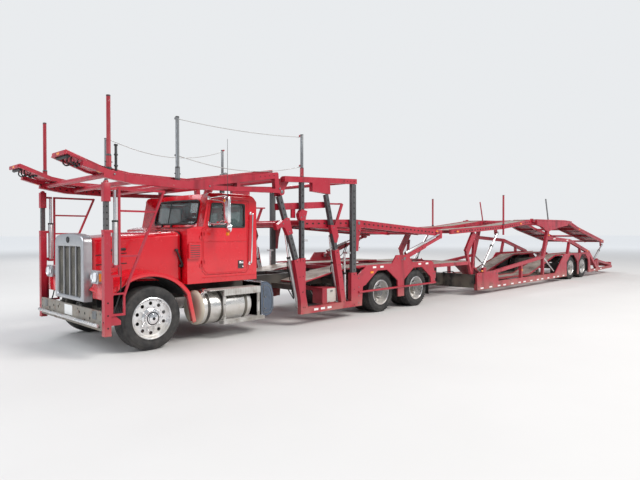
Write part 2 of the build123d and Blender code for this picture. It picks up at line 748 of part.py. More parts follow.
with BuildPart() as side_frames:
    both_sides(frame_inner, half_width, lambda: bars(sleeve_rows))
    for corners in collars:
        both_sides(collar_in, half_width - 3, lambda: Polygon(*corners, align=None))
    both_sides(strut_in, strut_in + 30, lambda: bars([(3985, 2275, 3740, 1720, 55)]))
    both_sides(inner_post_in - seat_gap, inner_post_out + seat_gap, lambda: bars([
        (*row[:4], row[4] + 2 * seat_gap) for row in inner_post_rows[:3]]), Mode.SUBTRACT)
    for way in (1, -1):
        rod_between(*guard_rail, guard_radius, way * guard_side)


    def wheel_plate():
        Polygon((4385, foot_low), (4385, 820), (4720, 1030), (5560, 1030), (5720, 1210), (6160, 1210),
                (6330, 1030), (7200, 1000), (7290, 480), (7085, 480), (7085, strut_low), (4690, strut_low),
                (4690, 640), (4570, 600), (4540, foot_low), align=None)
        arches(drive_stations)


    both_sides(half_width - plate_wide, half_width, wheel_plate)
    both_sides(deck_outer, half_width - plate_wide, lambda: blocks([(4400, 7195, 1000, 1030)]))
    both_sides(frame_inner, half_width - plate_wide, lambda: blocks([(7215, 7345, 600, 780)]))
    both_sides(frame_inner + 10, half_width - 10, lambda: Polygon(
        (4375, 1330), (4375, 1960), (4520, 1960), (4560, 1880), (4470, 1600), (4440, 1330), align=None))
    both_sides(deck_outer - deck_rail_wide + 12, frame_inner + 10, lambda: discs([deck_hinge], hinge_pin_radius))
    both_sides(arm_in - 8, half_width - plate_wide, lambda: discs([lift_foot], hinge_pin_radius))
save(side_frames, "side_frames")

# Inner posts: the steel tubes that stand in the sleeves
with BuildPart() as inner_posts:
    both_sides(inner_post_in, inner_post_out, lambda: bars(inner_post_rows))
save(inner_posts, "inner_posts")

# Top rails with the cheeks that hold the rack hinge pins, hangers, the cross tubes and the bridge rails
rail_start = 2450
line_radius = 6
bridge_in = frame_inner - 72
bridge_rows = [
    # x1, z1, x2, z2, depth
    (2350, 2158, 3560, 2240, 120),
    (3560, 2262, 3990, 2272, 30),
]
bridge_seats = [
    # x1, x2, z1, z2
    (2420, 2480, 2120, 2200),
    (2850, 2930, 2150, 2230),
]
with BuildPart() as top_rails:
    both_sides(frame_inner, half_width, lambda: bars([(rail_start, 2650, 4385, 2735, 100)]))
    both_sides(frame_inner, half_width, lambda: Polygon(
        (3130, 2630), (3600, 2650), (3610, 2440), (3130, 2470), align=None))

    def cheek():
        Polygon((rail_start, 2690), (2620, 2690), (2620, 2610), (2440, 2340), (2300, 2340), (2300, 2400),
                (2380, 2490), align=None)


    both_sides(frame_inner - 26, frame_inner - 1, cheek)
    both_sides(frame_inner - 26, frame_inner, lambda: blocks([(rail_start, 2620, 2620, 2690)]))
    both_sides(frame_inner - 26, half_width, lambda: discs([rack_hinge], hinge_pin_radius))
    across(frame_inner, lambda: discs([(2540, 2650), (4330, 2735)], 38))
    for way in (1, -1):
        rod_between((mast_pole_station, 2700), (mast_pole_station, 3490), pole_radius, way * pole_side)
        rod_between((mast_pole_station, 2700), (mast_pole_station, 2880), pole_radius + pole_socket,
                    way * pole_side)
    clips(mast_pole_station, [(way, high + clip_half + line_radius + 2) for way, _, high in clip_rows])
    both_sides(bridge_in, bridge_in + 60, lambda: bars(bridge_rows))
    both_sides(bridge_in + 60, inner_post_in, lambda: blocks(bridge_seats))
    both_sides(bridge_in + 60, strut_in - seat_gap, lambda: blocks([(3945, 3990, 2257, 2287)]))
    both_sides(bridge_in + 20, bridge_in + 50, lambda: blocks([(2705, 2800, 1970, 2200)]))
save(top_rails, "top_rails")

# Lift cylinders beside the posts: barrels with thinner rods, pinned or bracketed to the posts
post_jacks = [
    # barrel foot, barrel head, rod head
    ((2890, 330), (2650, 1260), (2570, 1700)),
    ((3020, 350), (3020, 1000), (3020, 1560)),
    ((3960, 380), (3800, 1130), (3722, 1640)),
    ((4160, 340), (4160, 900), (4160, 1300)),
]
jack_barrel = 32
jack_rod = 20
jack_side = frame_inner - 45
with BuildPart() as post_cylinders:
    for foot, head, tip in post_jacks:
        for way in (1, -1):
            rod_between(foot, head, jack_barrel, way * jack_side)
            rod_between(head, tip, jack_rod, way * jack_side)
    both_sides(jack_side, frame_inner, lambda: discs([jack[0] for jack in post_jacks], 24))
    both_sides(jack_side, collar_in - seat_gap, lambda: discs([post_jacks[0][2], post_jacks[2][2]], 24))
    both_sides(jack_side - 12, inner_post_in + 40, lambda: blocks([
        (2890 + 42.5, 3045, 1540, 1580), (4135, 4245, 1280, 1320)]))
save(post_cylinders, "post_cylinders")

# Lower tracks over the rails and the drive axles, on cross sills
lower_path = [(3050, 770), (3900, 925), (4500, 985), (7260, 985)]
lower_track_outer = deck_outer - 80
with BuildPart() as lower_tracks:
    both_sides(track_inner, lower_track_outer, lambda: chain(lower_path, track_plate))
    across(rail_outer, lambda: blocks([(4600, 4680, rail_top, 985), (5880, 5960, rail_top, 985),
                                       (6900, 6980, rail_top, 985)]))
    across(deck_outer - 5, lambda: blocks([
        (4600, 4680, 950, 970), (5880, 5960, 950, 970), (6900, 6980, 950, 970)]))
    both_sides(rail_outer - 60, track_inner, lambda: blocks([(3920, 3980, rail_top, 930)]))
save(lower_tracks, "lower_tracks")

# Toolboxes on the sills, and their hangers
toolbox_in = frame_inner - 275
with BuildPart() as toolboxes:
    both_sides(toolbox_in, frame_inner, lambda: blocks([(3480, 3860, 335, 640)]))
    both_sides(rail_outer, toolbox_in, lambda: blocks([(3600, 3680, 560, 640)]))
    both_sides(rail_outer - 40, rail_outer, lambda: blocks([(3600, 3680, 560, rail_bottom)]))
save(toolboxes, "toolboxes")

# Mud flaps under the rear outriggers
with BuildPart() as mud_flaps:
    both_sides(700, frame_inner - 5, lambda: blocks([(7130, 7142, 230, 640)]))
save(mud_flaps, "mud_flaps")

# Front posts: hollow tubes on the chassis beam, each with a ladder and a cylinder barrel
front_post_station = -700
front_post_size = 90
inner_tube_size = 60
front_post_foot = 310
front_post_head = 1740
front_jack_station = -580
ladder_rows = [
    # x1, z1, x2, z2, depth
    (-520, 1100, -520, 2310, 30),
    (-630, 570, -630, 1130, 30),
    (-635, 1115, -515, 1115, 30),
    (150, 2310, -360, 1100, 30),
    (-360, 1100, -460, 830, 30),
    (-460, 830, -460, 570, 30),
    (-645, 585, -445, 585, 30),
    (-630, 870, -460, 870, 26),
    (-520, 1380, -245, 1380, 26),
    (-520, 1690, -115, 1690, 26),
    (-520, 2000, 15, 2000, 26),
    (-660, 700, -620, 700, 30),
    (-535, 2297, 155, 2297, 30),
]
with BuildPart() as front_posts:
    both_sides(frame_inner, half_width, lambda: blocks([
        (front_post_station - 45, front_post_station + 45, front_post_foot, front_post_head)]))
    both_sides((frame_inner + half_width) / 2 - 15, (frame_inner + half_width) / 2 + 15, lambda: bars(ladder_rows))
    both_sides(frame_inner + 25, half_width - 25, lambda: blocks([
        (-660, -600, 1240, 1290), (-660, -600, 1700, 1740)]))
    for way in (1, -1):
        rod_between((front_jack_station, 1240), (front_jack_station, 1870), 36,
                    way * (frame_inner + half_width) / 2)
    with BuildSketch(Plane.XY.offset(front_post_foot + 120)):
        for way in (1, -1):
            with Locations((steer_x + front_post_station, way * (frame_inner + half_width) / 2)):
                Rectangle(inner_tube_size + 2 * seat_gap, inner_tube_size + 2 * seat_gap)
    extrude(amount=front_post_head, mode=Mode.SUBTRACT)
    with BuildSketch(Plane.XY.offset(1290)):
        for way in (1, -1):
            with Locations((steer_x + front_jack_station, way * (frame_inner + half_width) / 2)):
                Circle(jack_rod + seat_gap)
    extrude(amount=700, mode=Mode.SUBTRACT)
save(front_posts, "front_posts")

# Sliding posts: inner tube, upper sleeve with a rocker on top, and the cylinder's rod
slide_head = 2375
with BuildPart() as sliding_posts:
    for way in (1, -1):
        middle = way * (frame_inner + half_width) / 2
        with BuildSketch(Plane.XY.offset(front_post_foot + 420)):
            with Locations((steer_x + front_post_station, middle)):
                Rectangle(inner_tube_size, inner_tube_size)
        extrude(amount=2120 - front_post_foot - 420)
        with BuildSketch(Plane.XY.offset(2120)):
            with Locations((steer_x + front_post_station, middle)):
                Rectangle(front_post_size, frame_wide)
        extrude(amount=slide_head - 2120)
        rod_between((front_jack_station, 1320), (front_jack_station, 2310), jack_rod, middle)
    both_sides(frame_inner + 20, half_width - 20, lambda: discs([(front_post_station, slide_head)], 24))
    both_sides(frame_inner + 25, half_width - 25, lambda: blocks([(-660, -560, 2280, 2310)]))
save(sliding_posts, "sliding_posts")

# Head rack: side beams, inner rails, cross tubes and the forked tips
rack_path = [(-740, 2500), (-330, 2435), (560, 2415)]
rack_beam = 115
rack_tip_path = [(-1010, 2604), (-660, 2508)]
rack_rows = [
    # x1, z1, x2, z2, depth
    (540, 2430, 2290, 2700, 105),
    (540, 2395, 2375, 2430, 70),
    (2280, 2420, 2255, 2735, 90),
    (1450, 2420, 1450, 2550, 60),
]
rack_track_path = [(-1195, 2738), (-740, 2570), (-330, 2505), (560, 2487), (2255, 2765)]
rack_track_in = frame_inner - 455
rack_cross = [(-640, 2490), (-200, 2440), (560, 2430), (1450, 2500), (2200, 2660)]
with BuildPart() as head_rack:
    def beam_view():
        chain(rack_path, rack_beam)
        bars(rack_rows)
        bars([(*rack_tip_path[0], *rack_tip_path[1], 70)])
        discs([rack_hinge], hinge_boss_radius)
        with Locations(rack_hinge):
            Circle(hinge_pin_radius + pin_fit, mode=Mode.SUBTRACT)


    both_sides(frame_inner, half_width, beam_view)
    both_sides(rack_track_in - 50, rack_track_in, lambda: chain(rack_track_path, 60))
    across(frame_inner, lambda: discs(rack_cross, 38))
save(head_rack, "head_rack")

# Rack tracks: plates for the wheels, each with a nose bar
with BuildPart() as rack_tracks:
    def track_view():
        chain(rack_track_path, 24)
        blocks([(-front_reach, 30 - front_reach, 2705, 2760)])


    both_sides(rack_track_in, frame_inner - 12, track_view)
save(rack_tracks, "rack_tracks")

# Stake poles on the rack and on the top rails, with the clips that hold the safety lines
rack_poles_rows = [(-660, 2554.6, 3550), (rack_pole_station, 2477.9, 3425)]
with BuildPart() as rack_poles:
    for station, low, high in rack_poles_rows:
        for way in (1, -1):
            rod_between((station, low), (station, high), pole_radius, way * pole_side)
            rod_between((station, low), (station, low + 180), pole_radius + pole_socket, way * pole_side)
    clips(rack_pole_station, [(way, low) for way, low, _ in clip_rows])
save(rack_poles, "rack_poles")

# Safety lines: each hangs from its rack pole to its mast pole, in a plane just inside the poles
line_routes = {
    # stations from the front axle and heights
    "line_left_upper": (-1, [
        (384.6, 3400), (579, 3392.1), (744, 3385.8), (909, 3381.1), (1074, 3378), (1239, 3376.5),
        (1404, 3376.6), (1569, 3378.3), (1734, 3381.6), (1899, 3386.5), (2064, 3393), (2229, 3401.1),
        (2394, 3410.8), (2559, 3422.1), (2724, 3435), (2899, 3450.7)]),
    "line_left_lower": (-1, [
        (385.6, 2855), (579, 2820.9), (744, 2792.2), (909, 2768.8), (1074, 2750.8), (1239, 2738.1),
        (1404, 2730.7), (1569, 2728.7), (1734, 2732), (1899, 2740.6), (2064, 2754.6), (2229, 2773.9),
        (2394, 2798.5), (2559, 2828.5), (2724, 2863.8), (2899, 2908.3)]),
    "line_right_upper": (1, [
        (386.5, 3400), (579, 3347.3), (744, 3302.7), (909, 3266), (1074, 3237.3), (1239, 3216.6),
        (1404, 3203.9), (1569, 3199.2), (1734, 3202.5), (1899, 3213.8), (2064, 3233.1), (2229, 3260.4),
        (2394, 3295.7), (2559, 3339), (2724, 3390.2), (2899, 3455.2)]),
}


def corner_radii(points):
    """The largest arc that each corner's two runs allow."""
    radii = []
    for before, corner, after in zip(points, points[1:], points[2:]):
        run_in = corner - before
        run_out = after - corner
        half_turn = radians(run_in.get_angle(run_out) / 2)
        radii.append(0.45 * min(run_in.length, run_out.length) / (sin(half_turn) / cos(half_turn)))
    return radii


for name, (way, stations) in line_routes.items():
    points = [Vector(steer_x + x, way * clip_side, z) for x, z in stations]
    radii = corner_radii(points)
    with BuildPart() as line:
        with BuildLine():
            route = FilletPolyline(*points, radius=radii)
        with BuildSketch(Plane(origin=route @ 0, z_dir=route % 0)):
            Circle(line_radius)
        sweep(path=route)
    round_section = 3.14159 * line_radius ** 2
    print(name, "least radius", round(min(radii)), "length", round(route.length),
          "volume ratio", round(line.part.volume / (round_section * route.length), 4))
    save(line, name)

# Rear deck of the tractor: side rails, cross tubes and the lugs for the lift arms
deck_path = [(2950, 1870), (4460, 1900), (7760, 1690)]
deck_depth = 150
deck_lug_face = arm_in - seat_gap
with BuildPart() as rear_deck:
    def deck_view():
        chain(deck_path, deck_depth)
        with Locations(deck_hinge):
            Circle(hinge_pin_radius + pin_fit, mode=Mode.SUBTRACT)


    both_sides(deck_outer - deck_rail_wide, deck_outer, deck_view)
    both_sides(track_inner - 40, track_inner, lambda: chain(deck_path, deck_depth - 50))
    across(deck_outer - deck_rail_wide, lambda: discs([(3020, 1872), (5400, 1840), (6500, 1770), (7680, 1695)], 40))
    both_sides(deck_outer - 40, deck_lug_face, lambda: Polygon(
        (7490, 1690), (7700, 1690), (7650, 1580), (7600, 1555), (7550, 1580), align=None))
    both_sides(track_inner - 10, deck_outer - deck_rail_wide + 10, lambda: chain(
        [(2960, 1900), (4460, 1930), (7750, 1720)], track_plate))
save(rear_deck, "rear_deck")

# Lift arms: hollow outer arms with a barrel on top, and sliding inner arms with the rods
arm_depth = 100
slider_depth = 70
slider_wide = 40
arm_length = 950
slider_start = 480
jack_rise = 80


def beside(start, end, distance, rise):
    """A point at a distance along a line and raised square to it."""
    length = hypot(end[0] - start[0], end[1] - start[1])
    ux, uz = (end[0] - start[0]) / length, (end[1] - start[1]) / length
    return (start[0] + ux * distance - uz * rise, start[1] + uz * distance + ux * rise)


arm_middle = (arm_in + arm_out) / 2
barrel_foot = 140
barrel_head = 900
lift_length = hypot(lift_eye[0] - lift_foot[0], lift_eye[1] - lift_foot[1])
with BuildPart() as lift_arms:
    def arm_view():
        bars([(*lift_foot, *along(lift_foot, lift_eye, arm_length), arm_depth)])
        discs([lift_foot], arm_depth / 2)
        with Locations(lift_foot):
            Circle(hinge_pin_radius + pin_fit, mode=Mode.SUBTRACT)


    both_sides(arm_in, arm_out, arm_view)
    both_sides(arm_middle - slider_wide / 2 - seat_gap, arm_middle + slider_wide / 2 + seat_gap,
               lambda: bars([(*along(lift_foot, lift_eye, slider_start - 40),
                              *along(lift_foot, lift_eye, arm_length + 10), slider_depth + 2 * seat_gap)]),
               Mode.SUBTRACT)
    for way in (1, -1):
        rod_between(beside(lift_foot, lift_eye, barrel_foot, jack_rise),
                    beside(lift_foot, lift_eye, barrel_head, jack_rise), 34, way * arm_middle)
        rod_between(beside(lift_foot, lift_eye, barrel_foot + 120, jack_rise),
                    beside(lift_foot, lift_eye, barrel_head + 10, jack_rise), jack_rod + seat_gap,
                    way * arm_middle, Mode.SUBTRACT)
save(lift_arms, "lift_arms")

with BuildPart() as lift_sliders:
    def slider_view():
        bars([(*along(lift_foot, lift_eye, slider_start), *lift_eye, slider_depth)])


    both_sides(arm_middle - slider_wide / 2, arm_middle + slider_wide / 2, slider_view)
    both_sides(arm_in, arm_out, lambda: discs([lift_eye], 42))
    for way in (1, -1):
        rod_between(beside(lift_foot, lift_eye, barrel_foot + 160, jack_rise),
                    beside(lift_foot, lift_eye, lift_length - 40, jack_rise), jack_rod, way * arm_middle)
    both_sides(arm_middle - 15, arm_middle + 15, lambda: bars([
        (*beside(lift_foot, lift_eye, lift_length - 60, 0),
         *beside(lift_foot, lift_eye, lift_length - 60, jack_rise + 20), 40)]))
save(lift_sliders, "lift_sliders")

# Trailer chassis: neck over the stinger, front sill, rails over the axles, cross members and deck legs
neck_half = 250
neck_low = 445
neck_high = 570
platform_low = 850
platform_top = 940
rail_in = 430
trailer_rail_low = 600
trailer_rail_high = 740
cross_rows = [
    # x1, x2, z1, z2
    (9345, 9445, 200, 570),
    (10560, 10640, 180, 260),
    (12120, 12200, 180, 260),
    (13790, 13870, 180, 260),
    (15480, 15560, 180, 260),
    (17030, 17110, 600, 700),
    (18560, 18640, 560, 700),
]
leg_in = deck_outer - deck_rail_wide - 75
leg_rows = [
    # x1, z1, x2, z2, depth
    (9560, 1700, 9130, 1170, 190),
    (9140, 1190, 9400, 560, 90),
    (9560, 1500, 9430, 560, 60),
]
with BuildPart() as trailer_chassis:
    across(neck_half, lambda: Polygon(
        (7880, neck_low), (7880, neck_high), (9400, neck_high), (9400, 250), (8600, 250), (8420, neck_low),
        align=None))
    across(frame_inner, lambda: blocks(cross_rows))
    both_sides(leg_in, leg_in + 70, lambda: bars(leg_rows))
    both_sides(rail_in - 90, rail_in, lambda: blocks([(15480, 18640, trailer_rail_low, trailer_rail_high)]))
    both_sides(rail_in - 90, rail_in, lambda: bars([(9400, 235, 15560, 235, 90), (15520, 220, 15520, 700, 80)]))
    both_sides(neck_half - 60, neck_half, lambda: blocks([
        (7880, 7960, neck_low, platform_low), (8080, 8140, neck_low, platform_low),
        (8930, 9000, neck_low, platform_low)]))
    with BuildSketch(Plane.XY.offset(neck_low - 1)):
        with Locations((steer_x + pivot_station, 0)):
            Circle(hitch_pin_radius + pin_fit)
    extrude(amount=neck_high - neck_low + 2, mode=Mode.SUBTRACT)
save(trailer_chassis, "trailer_chassis")

# Front platform over the pivot: side rails, cross sills and two plates
with BuildPart() as front_platform:
    both_sides(deck_outer - 60, deck_outer, lambda: blocks([(7330, 9060, platform_low, platform_top)]))
    both_sides(track_inner, deck_outer - 60, lambda: blocks([
        (7330, 9060, platform_top - track_plate, platform_top)]))
    across(deck_outer - 60, lambda: blocks([
        (x1, x2, platform_low, platform_top - 5)
        for x1, x2 in ((7330, 7400), (7880, 7960), (8080, 8140), (8930, 9000))]))
save(front_platform, "front_platform")

# Trailer side frames: belly rail, incline, posts, roof beam, wheel plates, and the pins of ramp and cylinders
side_rows = [
    # x1, z1, x2, z2, depth
    (9345, 230, 15900, 230, 170),
    (10500, 600, 13800, 900, 90),
    (12160, 230, 12160, 750, 85),
    (13830, 230, 13830, 900, 80),
    (14190, 1535, 16250, 1410, 120),
    (16250, 1410, 18260, 950, 115),
    (18240, 960, ramp_hinge[0] - 90, 190, 130),
    (16050, 930, 16240, 1400, 80),
    (17330, 930, 17330, 1170, 80),
    (18300, 215, rear_reach - 290, 265, 95),
]


ram_side = deck_outer - 30
pin_reach = 40
middle_seat = 1765


def trailer_wheel_plate():
    Polygon((14600, 150), (15680, 950), (18300, 950), (18480, 170), (18150, 170), align=None)
    arches(trailer_stations)


with BuildPart() as trailer_sides:
    both_sides(frame_inner, half_width, lambda: bars(side_rows))
    both_sides(frame_inner, half_width, lambda: Polygon(
        (13760, 870), (13920, 870), (14310, middle_seat), (14140, middle_seat), align=None))
    both_sides(frame_inner + 40, half_width - 5, lambda: Polygon(
        (9345, 150), (10640, 150), (10560, 640), (9345, 600), align=None))
    both_sides(half_width - plate_wide, half_width, trailer_wheel_plate)
    both_sides(frame_inner, half_width - plate_wide, lambda: blocks([(17030, 17110, 600, 700)]))
    both_sides(frame_inner, half_width - 20, lambda: blocks([(9740, 9900, 560, 740), (19060, 19180, 290, 620)]))
    both_sides(frame_inner, frame_inner + 45, lambda: Polygon(
        (ramp_hinge[0] - 120, 200), (ramp_hinge[0] + 110, 230), (ramp_hinge[0] + 70, 640),
        (ramp_hinge[0] - 50, 660), (ramp_hinge[0] - 150, 560), align=None))
    both_sides(frame_inner - 1, frame_inner + pin_reach, lambda: discs(
        [front_jack_foot, rear_jack_foot, ramp_hinge], hinge_pin_radius + pin_fit), Mode.SUBTRACT)
save(trailer_sides, "trailer_sides")

# Trailer lower tracks: down from the platform, along the belly, over the axles and down to the ramp
belly_track_outer = deck_outer - 155
belly_path = [(9330, 930), (10350, 330), (13300, 330), (15500, 880), (18550, 900),
              (ramp_hinge[0] - 50, 610)]
with BuildPart() as trailer_tracks:
    both_sides(track_inner, belly_track_outer, lambda: chain(belly_path, track_plate))
    both_sides(rail_in - 90, track_inner, lambda: blocks([
        (16900, 16960, trailer_rail_high, 890), (18300, 18360, trailer_rail_high, 900)]))
save(trailer_tracks, "trailer_tracks")

with BuildPart() as trailer_axles:
    axle_set(trailer_stations, trailer_rail_low, rail_in - 90, rail_in, 70)
save(trailer_axles, "trailer_axles")

# Front deck of the trailer, hinged at its rear, with its stake poles
front_deck_pole = 11080
front_deck_path = [(8200, 1720), (11090, 1865), (13200, 2070)]
front_deck_depth = 110
with BuildPart() as front_deck:
    def front_deck_view():
        chain(front_deck_path, front_deck_depth)
        discs([front_deck_hinge], hinge_boss_radius)
        with Locations(front_deck_hinge):
            Circle(hinge_pin_radius + pin_fit, mode=Mode.SUBTRACT)


    both_sides(deck_outer - deck_rail_wide, deck_outer, front_deck_view)
    both_sides(track_inner - 40, track_inner, lambda: chain([(8200, 1720), (11090, 1865), (13100, 2060)], 70))
    across(deck_outer - deck_rail_wide, lambda: discs(
        [(8260, 1722), (9300, 1775), (10400, 1830), (11800, 1932), (13050, 2055)], 35))
    both_sides(deck_outer - deck_rail_wide - 25, deck_outer - deck_rail_wide, lambda: Polygon(
        (10680, 1850), (10900, 1860), (10830, 1650), (10730, 1650), align=None))
    both_sides(track_inner - 10, deck_outer - deck_rail_wide + 10, lambda: chain(
        [(8200, 1755), (11090, 1900), (13080, 2091)], track_plate))
    for way in (1, -1):
        rod_between((front_deck_pole, 1640), (front_deck_pole, 2810), pole_radius, way * (deck_outer + 15))
save(front_deck, "front_deck")

# Cylinders that raise the trailer decks: barrels on the frame, rods with eyes beside the deck lugs
ram_barrel = 42
ram_rod = 30
ram_length = 900


def barrel(foot, eye, length):
    """A pair of hollow barrels with a round foot."""
    for way in (1, -1):
        rod_between(foot, along(foot, eye, length), ram_barrel, way * ram_side)
        rod_between(along(foot, eye, 120), along(foot, eye, length + 5), ram_rod + seat_gap, way * ram_side,
                    Mode.SUBTRACT)
    both_sides(ram_side - 35, ram_side + 35, lambda: discs([foot], 58))
    both_sides(ram_side + 35, frame_inner + pin_reach - seat_gap, lambda: discs([foot], hinge_pin_radius))


def ram(foot, eye):
    """A pair of rods with a round eye."""
    for way in (1, -1):
        rod_between(along(foot, eye, 160), eye, ram_rod, way * ram_side)
    both_sides(ram_side - 35, ram_side + 35, lambda: discs([eye], 50))


with BuildPart() as front_barrels:
    barrel(front_jack_foot, front_jack_eye, ram_length)
save(front_barrels, "front_barrels")
with BuildPart() as front_rams:
    ram(front_jack_foot, front_jack_eye)
save(front_rams, "front_rams")
with BuildPart() as rear_barrels:
    barrel(rear_jack_foot, rear_jack_eye, ram_length - 50)
save(rear_barrels, "rear_barrels")
with BuildPart() as rear_rams:
    ram(rear_jack_foot, rear_jack_eye)
save(rear_rams, "rear_rams")

# Middle deck, fixed on the posts: side panels, tracks, cross tubes, leaning poles and the hinge pins
middle_deck_pole = (14500, 1950, 14230, 2840)
middle_panel = [(13290, 1960), (13290, 2140), (15700, 2150), (16150, 2130), (15950, 1960), (15200, 1890),
                (14320, middle_seat), (14050, middle_seat), (13700, 1900)]
with BuildPart() as middle_deck:
    both_sides(deck_outer + 15, half_width, lambda: Polygon(*middle_panel, align=None))
    both_sides(deck_outer + 15, deck_outer + 60, lambda: bars([(13100, 2090, 13500, 2090, 90)]))
    both_sides(deck_outer + 15, deck_outer + 60, lambda: bars([(16000, 2080, 16500, 2080, 90)]))
    both_sides(deck_outer - deck_rail_wide, deck_outer + 15, lambda: discs(
        [front_deck_hinge, rear_deck_hinge], hinge_pin_radius))
    both_sides(track_inner, deck_outer + 15, lambda: bars([(13330, 2120, 16050, 2130, track_plate)]))
    across(deck_outer + 15, lambda: discs([(13430, 2085), (14700, 2085), (15900, 2085)], 38))
    for way in (1, -1):
        rod_between(middle_deck_pole[:2], middle_deck_pole[2:], 22, way * (deck_outer + 5))
save(middle_deck, "middle_deck")

# Rear deck of the trailer, hinged at its front
tail_deck_path = [(16450, 2080), (17360, 1860), (20380, 1330)]
with BuildPart() as tail_deck:
    def tail_deck_view():
        chain(tail_deck_path, 120)
        discs([rear_deck_hinge], hinge_boss_radius)
        with Locations(rear_deck_hinge):
            Circle(hinge_pin_radius + pin_fit, mode=Mode.SUBTRACT)


    both_sides(deck_outer - deck_rail_wide, deck_outer, tail_deck_view)
    both_sides(track_inner - 40, track_inner, lambda: bars([
        (16560, 2050, 17360, 1860, 80), (17360, 1860, 20380, 1330, 80)]))
    across(deck_outer - deck_rail_wide, lambda: discs([
        (16640, 2030), (17500, 1835), (19000, 1572), (20300, 1345)], 36))
    both_sides(deck_outer - deck_rail_wide - 25, deck_outer - deck_rail_wide, lambda: Polygon(
        (20120, 1370), (20340, 1340), (20290, 1150), (20180, 1150), align=None))
    both_sides(track_inner - 10, deck_outer - deck_rail_wide + 10, lambda: chain(
        [(16600, 2080), (17370, 1893), (20370, 1366)], track_plate))
save(tail_deck, "tail_deck")

# Tail ramp: plates, side rails and the end beam, hinged on the trailer sides by its own pins
ramp_rail = 60
ramp_end = (rear_reach - 120, 345)
with BuildPart() as tail_ramp:
    def ramp_view():
        bars([(*ramp_hinge, *ramp_end, 80)])
        discs([ramp_hinge], hinge_boss_radius)


    both_sides(deck_outer - ramp_rail, deck_outer, ramp_view)
    both_sides(deck_outer, frame_inner + pin_reach - seat_gap, lambda: discs([ramp_hinge], hinge_pin_radius))
    both_sides(track_inner, deck_outer - ramp_rail, lambda: bars([
        (ramp_hinge[0] + 40, ramp_hinge[1] + 15, ramp_end[0], ramp_end[1] + 20, track_plate)]))
    across(deck_outer, lambda: blocks([(ramp_end[0] - 20, rear_reach, ramp_end[1] - 85, ramp_end[1] + 95)]))
    across(deck_outer - ramp_rail, lambda: discs([(ramp_hinge[0] + 170, ramp_hinge[1] - 25)], 30))
save(tail_ramp, "tail_ramp")
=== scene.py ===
import json
import math

import bmesh
import bpy
from mathutils import Matrix, Vector

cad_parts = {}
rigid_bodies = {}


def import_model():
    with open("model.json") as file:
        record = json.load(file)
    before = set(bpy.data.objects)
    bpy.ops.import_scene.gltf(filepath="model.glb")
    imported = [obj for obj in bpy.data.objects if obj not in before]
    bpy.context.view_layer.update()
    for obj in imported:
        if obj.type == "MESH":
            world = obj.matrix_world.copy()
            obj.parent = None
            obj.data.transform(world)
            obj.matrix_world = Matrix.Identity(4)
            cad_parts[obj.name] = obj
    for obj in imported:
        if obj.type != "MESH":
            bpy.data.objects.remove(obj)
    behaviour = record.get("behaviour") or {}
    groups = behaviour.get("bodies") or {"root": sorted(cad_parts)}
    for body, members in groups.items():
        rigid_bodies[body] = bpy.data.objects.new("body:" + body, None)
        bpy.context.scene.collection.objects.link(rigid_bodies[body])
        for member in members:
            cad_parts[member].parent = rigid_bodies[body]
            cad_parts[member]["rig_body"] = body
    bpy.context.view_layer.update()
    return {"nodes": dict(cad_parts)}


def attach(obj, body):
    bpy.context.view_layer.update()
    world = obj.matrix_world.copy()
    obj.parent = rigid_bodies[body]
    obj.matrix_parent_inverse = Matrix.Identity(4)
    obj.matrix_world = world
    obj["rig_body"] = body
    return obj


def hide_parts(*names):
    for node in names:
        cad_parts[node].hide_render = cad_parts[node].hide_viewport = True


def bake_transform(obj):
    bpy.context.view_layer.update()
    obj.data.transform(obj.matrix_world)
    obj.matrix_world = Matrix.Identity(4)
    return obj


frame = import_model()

FRONT_AXLE = -10.115
FRAME_IN = 1.205
SIDE = 1.295
POST_MIDDLE = (FRAME_IN + SIDE) / 2
INNER_FACE = FRAME_IN - 0.0005
OUTER_FACE = SIDE + 0.0005
BOLT_FACE = SIDE - 0.0005
PATCH_BACK, PATCH_FRONT = 1.2940, 1.2965
DECK_FACE = 1.1905
JACK_SIDE = 1.160
HAND_HOLES = 10
MARK_SUNK = 0.004
MARK_PROUD = 0.0015
ON_AXIS = 0.0001
OUT, AHEAD, BACK = (0, 1, 0), (-1, 0, 0), (1, 0, 0)


def at(station, y, z):
    """A point from its distance behind the front axle, its side and its height, in metres."""
    return Vector((station + FRONT_AXLE, y, z))


# Finishes

class Signal:
    """A socket in a finish. Arithmetic on it adds Math nodes."""

    def __init__(self, finish, socket):
        self.finish = finish
        self.socket = socket

    def maths(self, operation, first, second):
        return self.finish.node("ShaderNodeMath", {"operation": operation}, {0: first, 1: second})

    def __add__(self, other):
        return self.maths("ADD", self, other)

    def __radd__(self, other):
        return self.maths("ADD", other, self)

    def __sub__(self, other):
        return self.maths("SUBTRACT", self, other)

    def __rsub__(self, other):
        return self.maths("SUBTRACT", other, self)

    def __mul__(self, other):
        return self.maths("MULTIPLY", self, other)

    def __rmul__(self, other):
        return self.maths("MULTIPLY", other, self)

    def __truediv__(self, other):
        return self.maths("DIVIDE", self, other)

    def __rtruediv__(self, other):
        return self.maths("DIVIDE", other, self)

    def __pow__(self, other):
        return self.maths("POWER", self, other)


